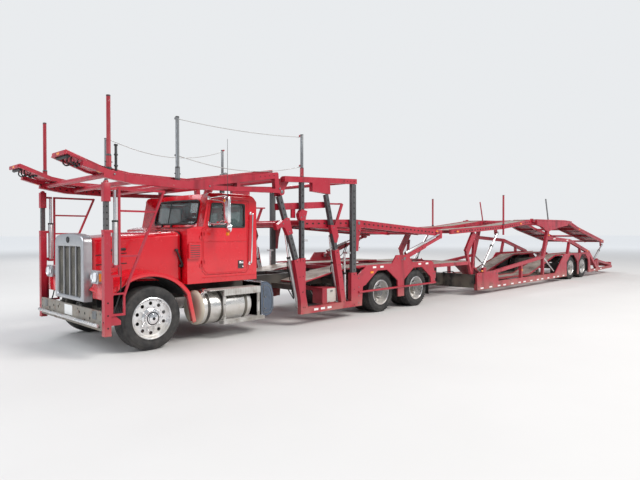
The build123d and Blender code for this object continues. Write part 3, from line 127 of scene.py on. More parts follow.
class Finish:
    """One procedural material around a Principled shader."""

    def __init__(self, name, **fixed):
        self.material = bpy.data.materials.new(name)
        self.material.use_nodes = True
        self.tree = self.material.node_tree
        self.shader = self.tree.nodes["Principled BSDF"]
        self.spot = self.node("ShaderNodeTexCoord", out="Object")
        self.surface(**fixed)

    def fill(self, socket, value):
        if isinstance(value, Signal):
            self.tree.links.new(value.socket, socket)
        elif isinstance(value, (tuple, list)) and len(value) == 3 and socket.type == "RGBA":
            socket.default_value = (*value, 1)
        else:
            socket.default_value = value

    def node(self, kind, settings=None, values=None, out=0):
        """Any node: its settings first, then the values or links of its sockets."""
        made = self.tree.nodes.new(kind)
        for key, value in (settings or {}).items():
            if key == "stops":
                ramp = made.color_ramp
                while len(ramp.elements) < len(value):
                    ramp.elements.new(0.5)
                for element, (place, colour) in zip(ramp.elements, value):
                    element.position = place
                    element.color = (*colour, 1)
            else:
                setattr(made, key, value)
        for key, value in (values or {}).items():
            self.fill(made.inputs[key], value)
        return Signal(self, made.outputs[out])

    def surface(self, **values):
        for key, value in values.items():
            self.fill(self.shader.inputs[key.replace("_", " ")], value)
        return self.material

    def stretched(self, stretch):
        return self.node("ShaderNodeMapping", {}, {"Vector": self.spot, "Scale": stretch})

    def cloud(self, scale, detail=4, rough=0.55, stretch=None):
        place = self.stretched(stretch) if stretch else self.spot
        return self.node("ShaderNodeTexNoise", {}, {
            "Vector": place, "Scale": scale, "Detail": detail, "Roughness": rough})

    def cells(self, scale, stretch=None, feature="F1"):
        place = self.stretched(stretch) if stretch else self.spot
        return self.node("ShaderNodeTexVoronoi", {"feature": feature}, {"Vector": place, "Scale": scale})

    def between(self, value, low, high, start=0.0, end=1.0):
        """A smooth step from start to end while the value goes from low to high."""
        return self.node("ShaderNodeMapRange", {"interpolation_type": "SMOOTHSTEP"}, {
            "Value": value, "From Min": low, "From Max": high, "To Min": start, "To Max": end})

    def axis(self, letter):
        return self.node("ShaderNodeSeparateXYZ", {}, {0: self.spot}, letter)

    def mix(self, first, second, share):
        return self.node("ShaderNodeMix", {"data_type": "RGBA"}, {0: share, 6: first, 7: second}, 2)

    def bump(self, height, strength=0.3, distance=0.002):
        return self.node("ShaderNodeBump", {}, {
            "Strength": strength, "Distance": distance, "Height": height}, "Normal")

    def wave(self, value):
        return self.node("ShaderNodeMath", {"operation": "SINE"}, {0: value})


DUST = (0.42, 0.37, 0.29)
RUST = (0.16, 0.055, 0.025)
PRIMER = (0.55, 0.53, 0.50)


def painted(name, colour, faded, fade, chips, grime, dust_top, rough, coat=0.0):
    """Paint with sun-fade, run-down grime, chips to primer and rust, and road dust low down."""
    f = Finish(name, Coat_Weight=coat, Coat_Roughness=0.06)
    patches = f.between(f.cloud(0.8, 3), 0.35, 0.68)
    base = f.mix(colour, faded, patches * fade)
    runs = f.between(f.cloud(5, 5, 0.6, (1, 1, 0.12)), 0.5, 0.72)
    base = f.mix(base, tuple(c * 0.35 for c in colour), runs * grime)
    dark_patch = f.between(f.cloud(2.6, 4, 0.6), 0.56, 0.72)
    base = f.mix(base, tuple(c * 0.45 + 0.012 for c in colour), dark_patch * grime)
    worn_area = f.between(f.cloud(1.7, 3), 0.45, 0.62)
    chipped = f.between(f.cloud(24, 6, 0.72), 0.665 - 0.04 * chips, 0.685 - 0.04 * chips) * worn_area
    chipped = chipped * min(1.0, chips * 2)
    rusty = f.between(f.cloud(60, 3), 0.4, 0.55)
    base = f.mix(base, f.mix(PRIMER, RUST, rusty), chipped)
    low = f.between(f.axis("Z"), dust_top, 0.1) * f.between(f.cloud(3.5, 5), 0.3, 0.62)
    base = f.mix(base, DUST, low * 0.4)
    fine = f.cloud(140, 3)
    return f.surface(
        Base_Color=base,
        Roughness=f.between(f.cloud(7, 4), 0.3, 0.7, rough - 0.06, rough + 0.1) + low * 0.3 + chipped * 0.3,
        Normal=f.bump(fine * 0.15 - chipped, 0.35, 0.0012))


def bare_metal(name, colour, stain, stain_share, rough, metallic=1.0, streak=(1, 1, 1), dust_top=0.9,
               spread=0.12):
    """Bare or polished metal with stains, brushed streaks and dust low down."""
    f = Finish(name)
    brushed = f.cloud(30, 4, 0.6, streak)
    stains = f.between(f.cloud(6, 6, 0.65), 0.5, 0.72) * stain_share
    low = f.between(f.axis("Z"), dust_top, 0.1) * f.between(f.cloud(4, 5), 0.35, 0.65)
    base = f.mix(f.mix(colour, stain, stains), DUST, low * 0.55)
    return f.surface(
        Base_Color=base,
        Metallic=metallic - stains * 0.6 - low * 0.5,
        Roughness=f.between(brushed, 0.3, 0.7, rough, rough + spread) + stains * 0.25 + low * 0.25,
        Normal=f.bump(brushed, 0.08, 0.0006))


def treaded_plate(name, colour, stain, pitch=0.055):
    """Steel floor plate with raised lozenges that lean two ways in turn."""
    f = Finish(name, Metallic=0.25)
    height = None
    for turn, shift in ((45, 0.0), (-45, 0.5)):
        moved = f.node("ShaderNodeMapping", {}, {
            "Vector": f.spot, "Location": (shift, shift, 0), "Scale": (1 / pitch, 1 / pitch, 0)})
        cell = f.node("ShaderNodeVectorMath", {"operation": "FRACTION"}, {0: moved})
        middle = f.node("ShaderNodeVectorMath", {"operation": "SUBTRACT"}, {0: cell, 1: (0.5, 0.5, 0)})
        turned = f.node("ShaderNodeMapping", {}, {
            "Vector": middle, "Rotation": (0, 0, math.radians(turn)), "Scale": (2.1, 6.5, 1)})
        away = f.node("ShaderNodeVectorMath", {"operation": "LENGTH"}, {0: turned}, "Value")
        bar = f.between(away, 1.0, 0.6)
        height = bar if height is None else height + bar
    dirt = f.between(f.cloud(4, 6, 0.6), 0.35, 0.7)
    base = f.mix(f.mix(colour, stain, dirt), tuple(min(1, c * 1.25) for c in colour), height * 0.35)
    rust = f.between(f.cloud(9, 6, 0.7), 0.58, 0.7)
    base = f.mix(base, RUST, rust * 0.5)
    return f.surface(Base_Color=base, Roughness=f.between(dirt, 0, 1, 0.5, 0.75) - height * 0.1,
                     Normal=f.bump(height, 0.6, 0.004))


def rubber(name):
    f = Finish(name)
    dusty = f.between(f.cloud(5, 5, 0.6), 0.35, 0.75)
    base = f.mix((0.018, 0.018, 0.019), (0.11, 0.10, 0.09), dusty * 0.45)
    return f.surface(Base_Color=base, Roughness=f.between(f.cloud(18, 4), 0.3, 0.7, 0.62, 0.82),
                     Normal=f.bump(f.cloud(160, 3), 0.15, 0.001))


def plastic(name, colour, rough=0.45, grain=220):
    f = Finish(name)
    worn = f.between(f.cloud(6, 4), 0.4, 0.7)
    base = f.mix(colour, tuple(min(1, c * 1.5 + 0.03) for c in colour), worn * 0.35)
    return f.surface(Base_Color=base, Roughness=f.between(worn, 0, 1, rough, rough + 0.15),
                     Normal=f.bump(f.cloud(grain, 2), 0.2, 0.0006))


def lens(name, colour, ribs, glow=0.0):
    f = Finish(name, Coat_Weight=0.6, Coat_Roughness=0.05)
    rib = f.wave(f.axis("Y") * ribs) * f.wave(f.axis("Z") * ribs)
    base = f.mix(colour, tuple(c * 0.55 for c in colour), f.between(rib, -0.6, 0.8) * 0.4)
    return f.surface(Base_Color=base, Roughness=0.18, Emission_Color=colour, Emission_Strength=glow,
                     Normal=f.bump(rib, 0.25, 0.001))


def clear_glass(name, tint, alpha):
    f = Finish(name, IOR=1.45, Coat_Weight=0.3, Coat_Roughness=0.03)
    film = f.between(f.cloud(2.5, 5), 0.35, 0.75)
    return f.surface(Base_Color=tint, Roughness=f.between(film, 0, 1, 0.02, 0.12),
                     Alpha=f.between(film, 0, 1, alpha, alpha + 0.08))


def perforated(name):
    """Dark mesh: a close grid of round holes, coloured near-black as painted shade behind the mesh."""
    f = Finish(name, Metallic=0.5)
    grid = f.node("ShaderNodeMapping", {}, {"Vector": f.spot, "Scale": (0, 62, 62)})
    cell = f.node("ShaderNodeVectorMath", {"operation": "FRACTION"}, {0: grid})
    middle = f.node("ShaderNodeVectorMath", {"operation": "SUBTRACT"}, {0: cell, 1: (0, 0.5, 0.5)})
    away = f.node("ShaderNodeVectorMath", {"operation": "LENGTH"}, {0: middle}, "Value")
    hole = f.between(away, 0.42, 0.34)
    dusty = f.between(f.cloud(4, 5), 0.35, 0.7)
    web = f.mix((0.16, 0.15, 0.13), (0.30, 0.27, 0.22), dusty)
    return f.surface(Base_Color=f.mix(web, (0.012, 0.012, 0.012), hole), Roughness=0.5 + hole * 0.3,
                     Normal=f.bump(1 - hole, 0.5, 0.003))


def cloth(name, colour):
    f = Finish(name, Sheen_Weight=0.3)
    weave = f.wave(f.axis("Y") * 1800) * f.wave((f.axis("X") + f.axis("Z")) * 1800)
    worn = f.between(f.cloud(5, 5), 0.4, 0.7)
    return f.surface(Base_Color=f.mix(colour, tuple(c * 1.7 for c in colour), worn * 0.5),
                     Roughness=0.85, Normal=f.bump(weave, 0.25, 0.0006))


cab_paint = painted("cab_paint", (0.63, 0.004, 0.014), (0.68, 0.014, 0.026), 0.35, 0.04, 0.12, 0.85, 0.2,
                    0.7)
# The rack and trailer reds are their raspberry paint darkened by about a quarter: partly real colour,
# partly painted shade
shaded_rack_paint = painted("shaded_rack_paint", (0.38, 0.008, 0.026), (0.44, 0.035, 0.055), 0.5, 0.5, 0.6, 0.55, 0.36,
                     0.25)
shaded_trailer_paint = painted("shaded_trailer_paint", (0.35, 0.010, 0.028), (0.44, 0.05, 0.07), 0.6, 0.6, 0.75, 0.5,
                        0.42, 0.2)
frame_black = painted("frame_black", (0.014, 0.014, 0.016), (0.05, 0.05, 0.05), 0.6, 0.3, 0.3, 1.3, 0.5)
tube_grey = painted("tube_grey", (0.055, 0.055, 0.060), (0.12, 0.12, 0.12), 0.6, 0.45, 0.5, 0.6, 0.42)
barrel_paint = bare_metal("barrel_paint", (0.62, 0.62, 0.63), (0.25, 0.23, 0.2), 0.5, 0.34, 0.75)
rod_chrome = bare_metal("rod_chrome", (0.82, 0.82, 0.83), (0.5, 0.48, 0.44), 0.3, 0.12)
pole_zinc = bare_metal("pole_zinc", (0.22, 0.23, 0.24), (0.10, 0.09, 0.08), 0.6, 0.42, 0.8)
polished = bare_metal("polished_aluminium", (0.86, 0.86, 0.87), (0.5, 0.46, 0.4), 0.35, 0.14, 1.0,
                      (1, 1, 1), 1.0)
tank_metal = bare_metal("tank_metal", (0.80, 0.79, 0.77), (0.48, 0.42, 0.34), 0.55, 0.2, 1.0, (0.15, 1, 1),
                        0.8)
wheel_metal = bare_metal("wheel_metal", (0.84, 0.84, 0.85), (0.45, 0.42, 0.37), 0.35, 0.22)
chrome = bare_metal("chrome_trim", (0.88, 0.88, 0.89), (0.5, 0.47, 0.42), 0.2, 0.07, 1.0, (1, 1, 1), 0.5,
                    0.06)
grille_metal = bare_metal("grille_metal", (0.50, 0.51, 0.53), (0.35, 0.34, 0.33), 0.3, 0.3, 0.85)
bumper_metal = bare_metal("bumper_metal", (0.30, 0.28, 0.25), RUST, 0.75, 0.42, 0.7, (1, 1, 1), 0.9, 0.2)
floor_plate = treaded_plate("floor_plate", (0.40, 0.36, 0.31), (0.20, 0.16, 0.13))
tyre_rubber = rubber("tyre_rubber")
black_rubber = plastic("black_rubber", (0.02, 0.02, 0.02), 0.6)
# Near-black for holes, slots, wheel drums and arch liners: painted shade where the inside is dark
painted_shade_black = plastic("painted_shade_black", (0.006, 0.006, 0.006), 0.85)
trim_plastic = plastic("trim_plastic", (0.035, 0.035, 0.037))
dash_plastic = plastic("dash_plastic", (0.10, 0.085, 0.075), 0.55)
cable_white = plastic("cable_cover", (0.40, 0.40, 0.39), 0.4)
blank_plate = plastic("blank_plate", (0.78, 0.78, 0.76), 0.35)
seat_cloth = cloth("seat_cloth", (0.06, 0.055, 0.055))
amber = lens("amber_lens", (0.85, 0.26, 0.01), 500, 0.15)
red_lens = lens("red_lens", (0.6, 0.008, 0.01), 500, 0.1)
lamp_lens = lens("lamp_lens", (0.80, 0.82, 0.84), 260, 0.05)
window_glass = clear_glass("window_glass", (0.10, 0.15, 0.15), 0.42)
mirror_glass = bare_metal("mirror_glass", (0.90, 0.92, 0.93), (0.7, 0.7, 0.7), 0.1, 0.03, 1.0, (1, 1, 1),
                          0.1, 0.02)
mesh_dark = perforated("grille_mesh")

# Mesh tools

def towards(direction):
    """The turn that takes the Z axis to a direction."""
    return direction.to_track_quat("Z", "Y").to_matrix().to_4x4()


def placed(name, data):
    """A new object at the origin of the scene."""
    obj = bpy.data.objects.new(name, data)
    bpy.context.scene.collection.objects.link(obj)
    return obj


def steps_along(path):
    """Each straight run of a path, as its start and its end."""
    return zip(path, path[1:])


def between_ends(start, end, share):
    """The point a share of the way from one station and height to another."""
    return start[0] + (end[0] - start[0]) * share, start[1] + (end[1] - start[1]) * share


class Bench:
    """Where one mesh is put together.

    Sides are given as on the right of the truck, and the left bench turns them over. Taking the
    piece off leaves the bench empty for the next one.
    """

    def __init__(self, hand=""):
        self.hand = hand
        self.side = -1 if hand == "left" else 1
        self.bm = bmesh.new()

    def spot(self, point):
        """A station, side and height as a point on this side of the truck."""
        return at(point[0], self.side * point[1], point[2])

    def bevel(self, edges, edge, segments=2):
        bmesh.ops.bevel(self.bm, geom=edges, offset=edge, offset_type="OFFSET", segments=segments,
                        profile=0.5, affect="EDGES", clamp_overlap=True, material=-1)

    def edges_of(self, verts):
        """The edges that join the given vertices."""
        chosen = set(verts)
        return [e for e in self.bm.edges if e.verts[0] in chosen and e.verts[1] in chosen]

    def rounded(self, verts, edge):
        """Rounds the edges between the given vertices, unless the edge is 0."""
        if edge > 0:
            self.bevel(self.edges_of(verts), edge)

    def block(self, low, high, edge=0.004):
        """A box between two corners, each a station, side and height."""
        low, high = self.spot(low), self.spot(high)
        made = bmesh.ops.create_cube(self.bm, size=1.0)["verts"]
        bmesh.ops.scale(self.bm, verts=made, vec=[abs(reach) for reach in high - low])
        bmesh.ops.translate(self.bm, verts=made, vec=(low + high) / 2)
        self.rounded(made, edge)

    def rod(self, start, end, radius, tip=None, sides=20, edge=0.0):
        """A round bar, or a cone when the tip's radius differs."""
        start, end = self.spot(start), self.spot(end)
        place = Matrix.Translation((start + end) / 2) @ towards(end - start)
        made = bmesh.ops.create_cone(self.bm, cap_ends=True, segments=sides, radius1=radius,
                                     radius2=radius if tip is None else tip, depth=(end - start).length,
                                     matrix=place)["verts"]
        if edge > 0:
            self.bevel([e for e in self.edges_of(made) if len(e.link_faces) == 2
                        and any(len(face.verts) > 4 for face in e.link_faces)], edge)

    def pin(self, x, z, y_from, y_to, *form, **more):
        """A rod across the truck."""
        self.rod((x, y_from, z), (x, y_to, z), *form, **more)

    def post(self, x, y, low, high, *form, **more):
        """An upright rod."""
        self.rod((x, y, low), (x, y, high), *form, **more)

    def bolt(self, x, y, z, radius=0.014, tall=0.010):
        """A bolt head that points outwards."""
        self.pin(x, z, y, y + math.copysign(tall, y), radius, sides=6, edge=0.002)

    def beam(self, start, end, wide, deep, edge=0.004):
        """A straight box section in a side view, wide across the truck and deep in the view."""
        start, end = self.spot(start), self.spot(end)
        along = end - start
        turn = math.atan2(along.z, along.x)
        made = bmesh.ops.create_cube(self.bm, size=1.0)["verts"]
        bmesh.ops.scale(self.bm, verts=made, vec=(along.length, wide, deep))
        bmesh.ops.rotate(self.bm, verts=made, cent=(0, 0, 0), matrix=Matrix.Rotation(-turn, 3, "Y"))
        bmesh.ops.translate(self.bm, verts=made, vec=(start + end) / 2)
        self.rounded(made, edge)

    def edging(self, path, y, lift, wide, deep, edge=0.002):
        """A thin strip that follows a path of stations and heights, lifted off it."""
        for start, end in steps_along(path):
            self.beam((start[0], y, start[1] + lift), (end[0], y, end[1] + lift), wide, deep, edge)

    def lathe(self, profile, centre, direction, steps=72):
        """Turns a profile of radius and distance along a direction about that direction."""
        axis = Vector((direction[0], self.side * direction[1], direction[2])).normalized()
        place = Matrix.Translation(self.spot(centre)) @ towards(axis)
        verts = [self.bm.verts.new(place @ Vector((radius, 0, far))) for radius, far in profile]
        edges = [self.bm.edges.new(pair) for pair in zip(verts, verts[1:])]
        bmesh.ops.spin(self.bm, geom=verts + edges, cent=place.translation, axis=axis,
                       angle=math.tau, steps=steps, use_merge=True, use_duplicate=False)

    def ring(self, profile, centre, direction, steps=72):
        """A lathed shape whose profile runs back to its start."""
        self.lathe(profile + profile[:1], centre, direction, steps)

    def drawn_out(self, faces, vec):
        """Gives flat faces a depth, and returns the moved vertices."""
        out = bmesh.ops.extrude_face_region(self.bm, geom=faces)["geom"]
        moved = [g for g in out if isinstance(g, bmesh.types.BMVert)]
        bmesh.ops.translate(self.bm, verts=moved, vec=vec)
        return moved

    def filled(self, edges):
        """The faces that fill loops of edges, with the inner loops left open."""
        made = bmesh.ops.triangle_fill(self.bm, use_beauty=True, edges=edges)["geom"]
        return [g for g in made if isinstance(g, bmesh.types.BMFace)]

    def prism(self, outline, y_from, y_to, edge=0.0):
        """A plate from a side view's outline of stations and heights."""
        verts = [self.bm.verts.new(self.spot((x, y_from, z))) for x, z in outline]
        moved = self.drawn_out([self.bm.faces.new(verts)], (0, self.side * (y_to - y_from), 0))
        self.rounded(verts + moved, edge)

    def panel(self, outline, station, depth):
        """A plate from a front view's outline of sides and heights, set at a station."""
        verts = [self.bm.verts.new(self.spot((station, y, z))) for y, z in outline]
        self.drawn_out([self.bm.faces.new(verts)], (depth, 0, 0))

    def framed(self, outline, window, station, depth, edge):
        """A plate with a window, both given as sides and heights; its front edges are rounded."""
        edges = []
        for loop in (outline, window):
            verts = [self.bm.verts.new(self.spot((station, y, z))) for y, z in loop]
            edges += [self.bm.edges.new(pair) for pair in zip(verts, verts[1:] + verts[:1])]
        self.drawn_out(self.filled(edges), (depth, 0, 0))
        self.bevel(edges, edge, 4)

    def holed_disc(self, centre, outer, inner, hole_ring, hole_radius, thick):
        """A round plate in the plane of a wheel, with a bore and a ring of hand holes."""
        def circle(x, z, radius, sides):
            place = Matrix.Translation(self.spot((x, centre[1], z))) @ Matrix.Rotation(math.pi / 2, 4, "X")
            made = bmesh.ops.create_circle(self.bm, cap_ends=False, segments=sides, radius=radius,
                                           matrix=place)
            return self.edges_of(made["verts"])

        edges = circle(centre[0], centre[2], outer, 72) + circle(centre[0], centre[2], inner, 36)
        for i in range(HAND_HOLES):
            angle = math.tau * (i + 0.5) / HAND_HOLES
            x, z = centre[0] + hole_ring * math.cos(angle), centre[2] + hole_ring * math.sin(angle)
            edges += circle(x, z, hole_radius, 20)
        self.drawn_out(self.filled(edges), (0, self.side * thick, 0))

    def tube(self, points, radius, sides=10, closed=False):
        """A round bar along points in space."""
        points = [Vector((point.x, self.side * point.y, point.z)) for point in points]
        count = len(points)
        rings = []
        normal = None
        for i, point in enumerate(points):
            before = points[(i - 1) % count] if closed or i else point
            after = points[(i + 1) % count] if closed or i < count - 1 else point
            run = (after - before).normalized()
            if normal is None:
                normal = run.orthogonal().normalized()
            normal = (normal - run * normal.dot(run)).normalized()
            other = run.cross(normal)
            turns = [math.tau * k / sides for k in range(sides)]
            rings.append([self.bm.verts.new(point + normal * (radius * math.cos(turn))
                                            + other * (radius * math.sin(turn))) for turn in turns])
        pairs = list(zip(rings, rings[1:])) + ([(rings[-1], rings[0])] if closed else [])
        for first, second in pairs:
            for k in range(sides):
                self.bm.faces.new((first[k], first[(k + 1) % sides], second[(k + 1) % sides], second[k]))
        if not closed:
            self.bm.faces.new(rings[0][::-1])
            self.bm.faces.new(rings[-1])

    def dots(self, start, end, pitch, radius, y_face):
        """A row of round marks on a face that looks sideways, given as stations and heights."""
        count = max(2, round(math.dist(start, end) / pitch) + 1)
        for i in range(count):
            x, z = between_ends(start, end, i / (count - 1))
            self.pin(x, z, y_face - MARK_SUNK, y_face + MARK_PROUD, radius, sides=14)

    def slots(self, start, end, pitch, long, tall, y_face):
        """A row of slots on a face that looks sideways, along a line of stations and heights."""
        length = math.dist(start, end)
        count = max(1, round(length / pitch))
        y = y_face + (MARK_PROUD - MARK_SUNK) / 2
        for i in range(count):
            middle, half = (i + 0.5) / count, long / 2 / length
            (x1, z1), (x2, z2) = (between_ends(start, end, middle + way * half) for way in (-1, 1))
            self.beam((x1, y, z1), (x2, y, z2), MARK_SUNK + MARK_PROUD, tall, 0.0)

    def ratchet(self, x, z, y_end):
        """A chain's ratchet bar, with its spool next to the outer beam."""
        self.pin(x, z, 1.115, 1.060, 0.030, sides=20, edge=0.003)
        self.pin(x, z, 1.060, y_end, 0.012, sides=12)

    def skin(self, across, along, place):
        """A grid whose corners run from 0 to 1 both ways, laid on a surface."""
        for vert in bmesh.ops.create_grid(self.bm, x_segments=along, y_segments=across, size=0.5)["verts"]:
            vert.co = place(vert.co.x + 0.5, vert.co.y + 0.5)
            vert.co.y *= self.side

    def shape(self, name, finish, smooth=None):
        """Takes the mesh off the bench as an object."""
        bmesh.ops.recalc_face_normals(self.bm, faces=self.bm.faces)
        mesh = bpy.data.meshes.new(name)
        self.bm.to_mesh(mesh)
        self.bm.clear()
        mesh.materials.append(finish)
        mesh.shade_smooth()
        if smooth:
            mesh.set_sharp_from_angle(angle=math.radians(smooth))
        return placed(name, mesh)

    def piece(self, name, finish, body, slot, replaces=(), smooth=35):
        """Takes the mesh off as a piece that rides on a body. A star in a name stands for the hand."""
        obj = self.shape(name.replace("*", self.hand), finish, smooth)
        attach(obj, body.replace("*", self.hand))
        if replaces:
            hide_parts(*(node.replace("*", self.hand) for node in replaces))
        return obj


def bent(corners, radius, steps=5, closed=False):
    """Points along a run of corners, each rounded off."""
    points = []
    count = len(corners)
    for i, corner in enumerate(corners):
        if not closed and i in (0, count - 1):
            points.append(corner)
            continue
        before, after = corners[(i - 1) % count], corners[(i + 1) % count]
        start = corner + (before - corner).normalized() * min(radius, (before - corner).length * 0.45)
        end = corner + (after - corner).normalized() * min(radius, (after - corner).length * 0.45)
        for k in range(steps + 1):
            t = k / steps
            points.append(start * (1 - t) ** 2 + corner * (2 * t * (1 - t)) + end * t ** 2)
    return points


def eased(node, finish, edge=0.004, keep=None, tracks=None, name=None):
    """A CAD node's shape with its edges rounded; faces inside the tracks' width get the floor plate."""
    source = frame["nodes"][node]
    bm = bmesh.new()
    bm.from_mesh(source.data)
    bmesh.ops.remove_doubles(bm, verts=bm.verts, dist=0.00003)
    if keep:
        gone = [f for f in bm.faces if not keep(f.calc_center_median())]
        bmesh.ops.delete(bm, geom=gone, context="FACES")
    bmesh.ops.dissolve_limit(bm, angle_limit=math.radians(0.6), use_dissolve_boundaries=False,
                             verts=bm.verts, edges=bm.edges, delimit={"NORMAL"})
    name = name or node + "_eased"
    mesh = bpy.data.meshes.new(name)
    bm.to_mesh(mesh)
    bm.free()
    mesh.materials.append(finish)
    if tracks:
        low, high = tracks
        mesh.materials.append(floor_plate)
        for poly in mesh.polygons:
            if low < abs(poly.center.y) < high and poly.normal.z > 0.7:
                poly.material_index = 1
    mesh.shade_smooth()
    mesh.set_sharp_from_angle(angle=math.radians(30))
    obj = placed(name, mesh)
    round_edges = obj.modifiers.new("round_edges", "BEVEL")
    round_edges.width = edge
    round_edges.segments = 2
    round_edges.limit_method = "ANGLE"
    round_edges.angle_limit = math.radians(40)
    round_edges.harden_normals = True
    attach(obj, source["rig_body"])
    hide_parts(node)


def dress(node, finish):
    """Gives a CAD node that stays a finish of its own."""
    obj = frame["nodes"][node]
    obj.data.materials.clear()
    obj.data.materials.append(finish)


BENCHES = (Bench("left"), Bench("right"))
whole = Bench()

# Camera, floor and light

def looking_along(direction):
    """The turn of a camera or a lamp that faces a direction."""
    return direction.to_track_quat("-Z", "Y").to_matrix().to_4x4()


PHOTO_WIDE = 640
FOCAL_PIXELS = 524
SENSOR = 36
camera = placed("camera", bpy.data.cameras.new("camera"))
camera.data.sensor_width = SENSOR
camera.data.lens = FOCAL_PIXELS / PHOTO_WIDE * SENSOR
camera.data.clip_end = 1000
YAW, PITCH, ROLL = math.radians(44.72), math.radians(-0.70), math.radians(-0.08)
looking = Vector((math.cos(PITCH) * math.cos(YAW), math.cos(PITCH) * math.sin(YAW), math.sin(PITCH)))
camera.matrix_world = (Matrix.Translation(at(-3.67, -8.22, 1.686)) @ looking_along(looking)
                       @ Matrix.Rotation(ROLL, 4, "Z"))
bpy.context.scene.camera = camera
bpy.context.scene.view_settings.view_transform = "Standard"

floor_bm = bmesh.new()
bmesh.ops.create_circle(floor_bm, cap_ends=True, segments=96, radius=400)
floor_mesh = bpy.data.meshes.new("floor")
floor_bm.to_mesh(floor_mesh)
floor_bm.free()
floor = placed("floor", floor_mesh)
floor_finish = Finish("floor_finish", Roughness=0.9, Emission_Strength=1.0)
away = floor_finish.node("ShaderNodeVectorMath", {"operation": "LENGTH"}, {0: floor_finish.spot}, "Value")
floor_finish.surface(
    Base_Color=floor_finish.mix((0.62, 0.61, 0.60), (0.66, 0.65, 0.64), floor_finish.cloud(0.6, 3)),
    Emission_Color=floor_finish.mix((0, 0, 0), (0.47, 0.49, 0.51), floor_finish.between(away, 12, 60)))
floor_mesh.materials.append(floor_finish.material)

world = bpy.data.worlds.new("world")
bpy.context.scene.world = world
world.use_nodes = True
nodes, links = world.node_tree.nodes, world.node_tree.links
sky = nodes["Background"]
sky.inputs["Color"].default_value = (0.80, 0.84, 0.90, 1)
sky.inputs["Strength"].default_value = 0.55
plain = nodes.new("ShaderNodeBackground")
plain.inputs["Color"].default_value = (0.86, 0.88, 0.90, 1)
plain.inputs["Strength"].default_value = 0.95
ray = nodes.new("ShaderNodeLightPath")
either = nodes.new("ShaderNodeMath")
either.operation = "MAXIMUM"
links.new(ray.outputs["Is Camera Ray"], either.inputs[0])
links.new(ray.outputs["Is Transmission Ray"], either.inputs[1])
blend = nodes.new("ShaderNodeMixShader")
links.new(either.outputs[0], blend.inputs[0])
links.new(sky.outputs[0], blend.inputs[1])
links.new(plain.outputs[0], blend.inputs[2])
links.new(blend.outputs[0], nodes["World Output"].inputs["Surface"])


SOFTBOX_SIDE = 14


def softbox(name, place, aim, power, colour=(1, 1, 1)):
    """A large square lamp that is aimed at a point."""
    light = bpy.data.lights.new(name, "AREA")
    light.shape = "SQUARE"
    light.size = SOFTBOX_SIDE
    light.energy = power
    light.color = colour
    lamp = placed(name, light)
    lamp.matrix_world = Matrix.Translation(place) @ looking_along(Vector(aim) - Vector(place))


softbox("key", (2, -22, 22), (-3, 0, 1), 9000, (1.0, 0.97, 0.93))
softbox("fill", (-26, 4, 14), (-6, 0, 1), 3200, (0.92, 0.96, 1.0))
softbox("back", (8, 24, 16), (0, 0, 1), 3500)

# Wheels

STEER = {"radius": 0.4625, "rim": 0.298, "wide": 0.295, "middle": 1.0325}
DUAL = {"radius": 0.4225, "rim": 0.260, "wide": 0.245, "middle": 1.1075, "apart": 0.305}
BOLT_RING = 0.1675
DRIVE_AXLES = (5.260, 6.580)
TRAILER_AXLES = (16.465, 17.676)


def tyre_profile(radius, rim, wide, grooves):
    """Section of a tyre from the outer bead over the grooved tread to the inner bead."""
    half = wide / 2
    wall = [(rim - 0.006, half - 0.022), (rim + 0.012, half - 0.008), (rim + 0.03, half - 0.010),
            (rim + 0.05, half - 0.003), (rim + 0.085, half), (radius - 0.052, half - 0.006),
            (radius - 0.045, half - 0.012), (radius - 0.026, half - 0.017), (radius - 0.014, half - 0.021),
            (radius - 0.004, half - 0.032)]
    tread = []
    for middle in grooves:
        tread += [(radius, middle + 0.006), (radius - 0.012, middle + 0.004),
                  (radius - 0.012, middle - 0.004), (radius, middle - 0.006)]
    inner = [(r, -far) for r, far in reversed(wall)]
    return wall + tread + inner


def shoulder_blocks(bench, centre, radius, wide, count):
    """Tread blocks at both shoulders of a drive tyre."""
    for shoulder in (-1, 1):
        for i in range(count):
            turn = Matrix.Rotation(math.tau * i / count, 3, "Y")
            made = bmesh.ops.create_cube(bench.bm, size=1.0)["verts"]
            bmesh.ops.scale(bench.bm, verts=made, vec=(0.022, 0.052, 0.026))
            bmesh.ops.translate(bench.bm, verts=made,
                                vec=(0, bench.side * shoulder * (wide / 2 - 0.041), radius - 0.0135))
            bmesh.ops.rotate(bench.bm, verts=made, cent=(0, 0, 0), matrix=turn)
            bmesh.ops.translate(bench.bm, verts=made, vec=bench.spot(centre))


def nuts(bench, station, z, ring, face, radius=0.017):
    """A ring of wheel nuts with their studs, on a face that looks outwards."""
    for i in range(HAND_HOLES):
        angle = math.tau * i / HAND_HOLES
        x, up = station + ring * math.cos(angle), z + ring * math.sin(angle)
        bench.pin(x, up, face, face + 0.030, radius, sides=6, edge=0.003)
        bench.pin(x, up, face + 0.030, face + 0.042, radius * 0.7, radius * 0.3, sides=10)


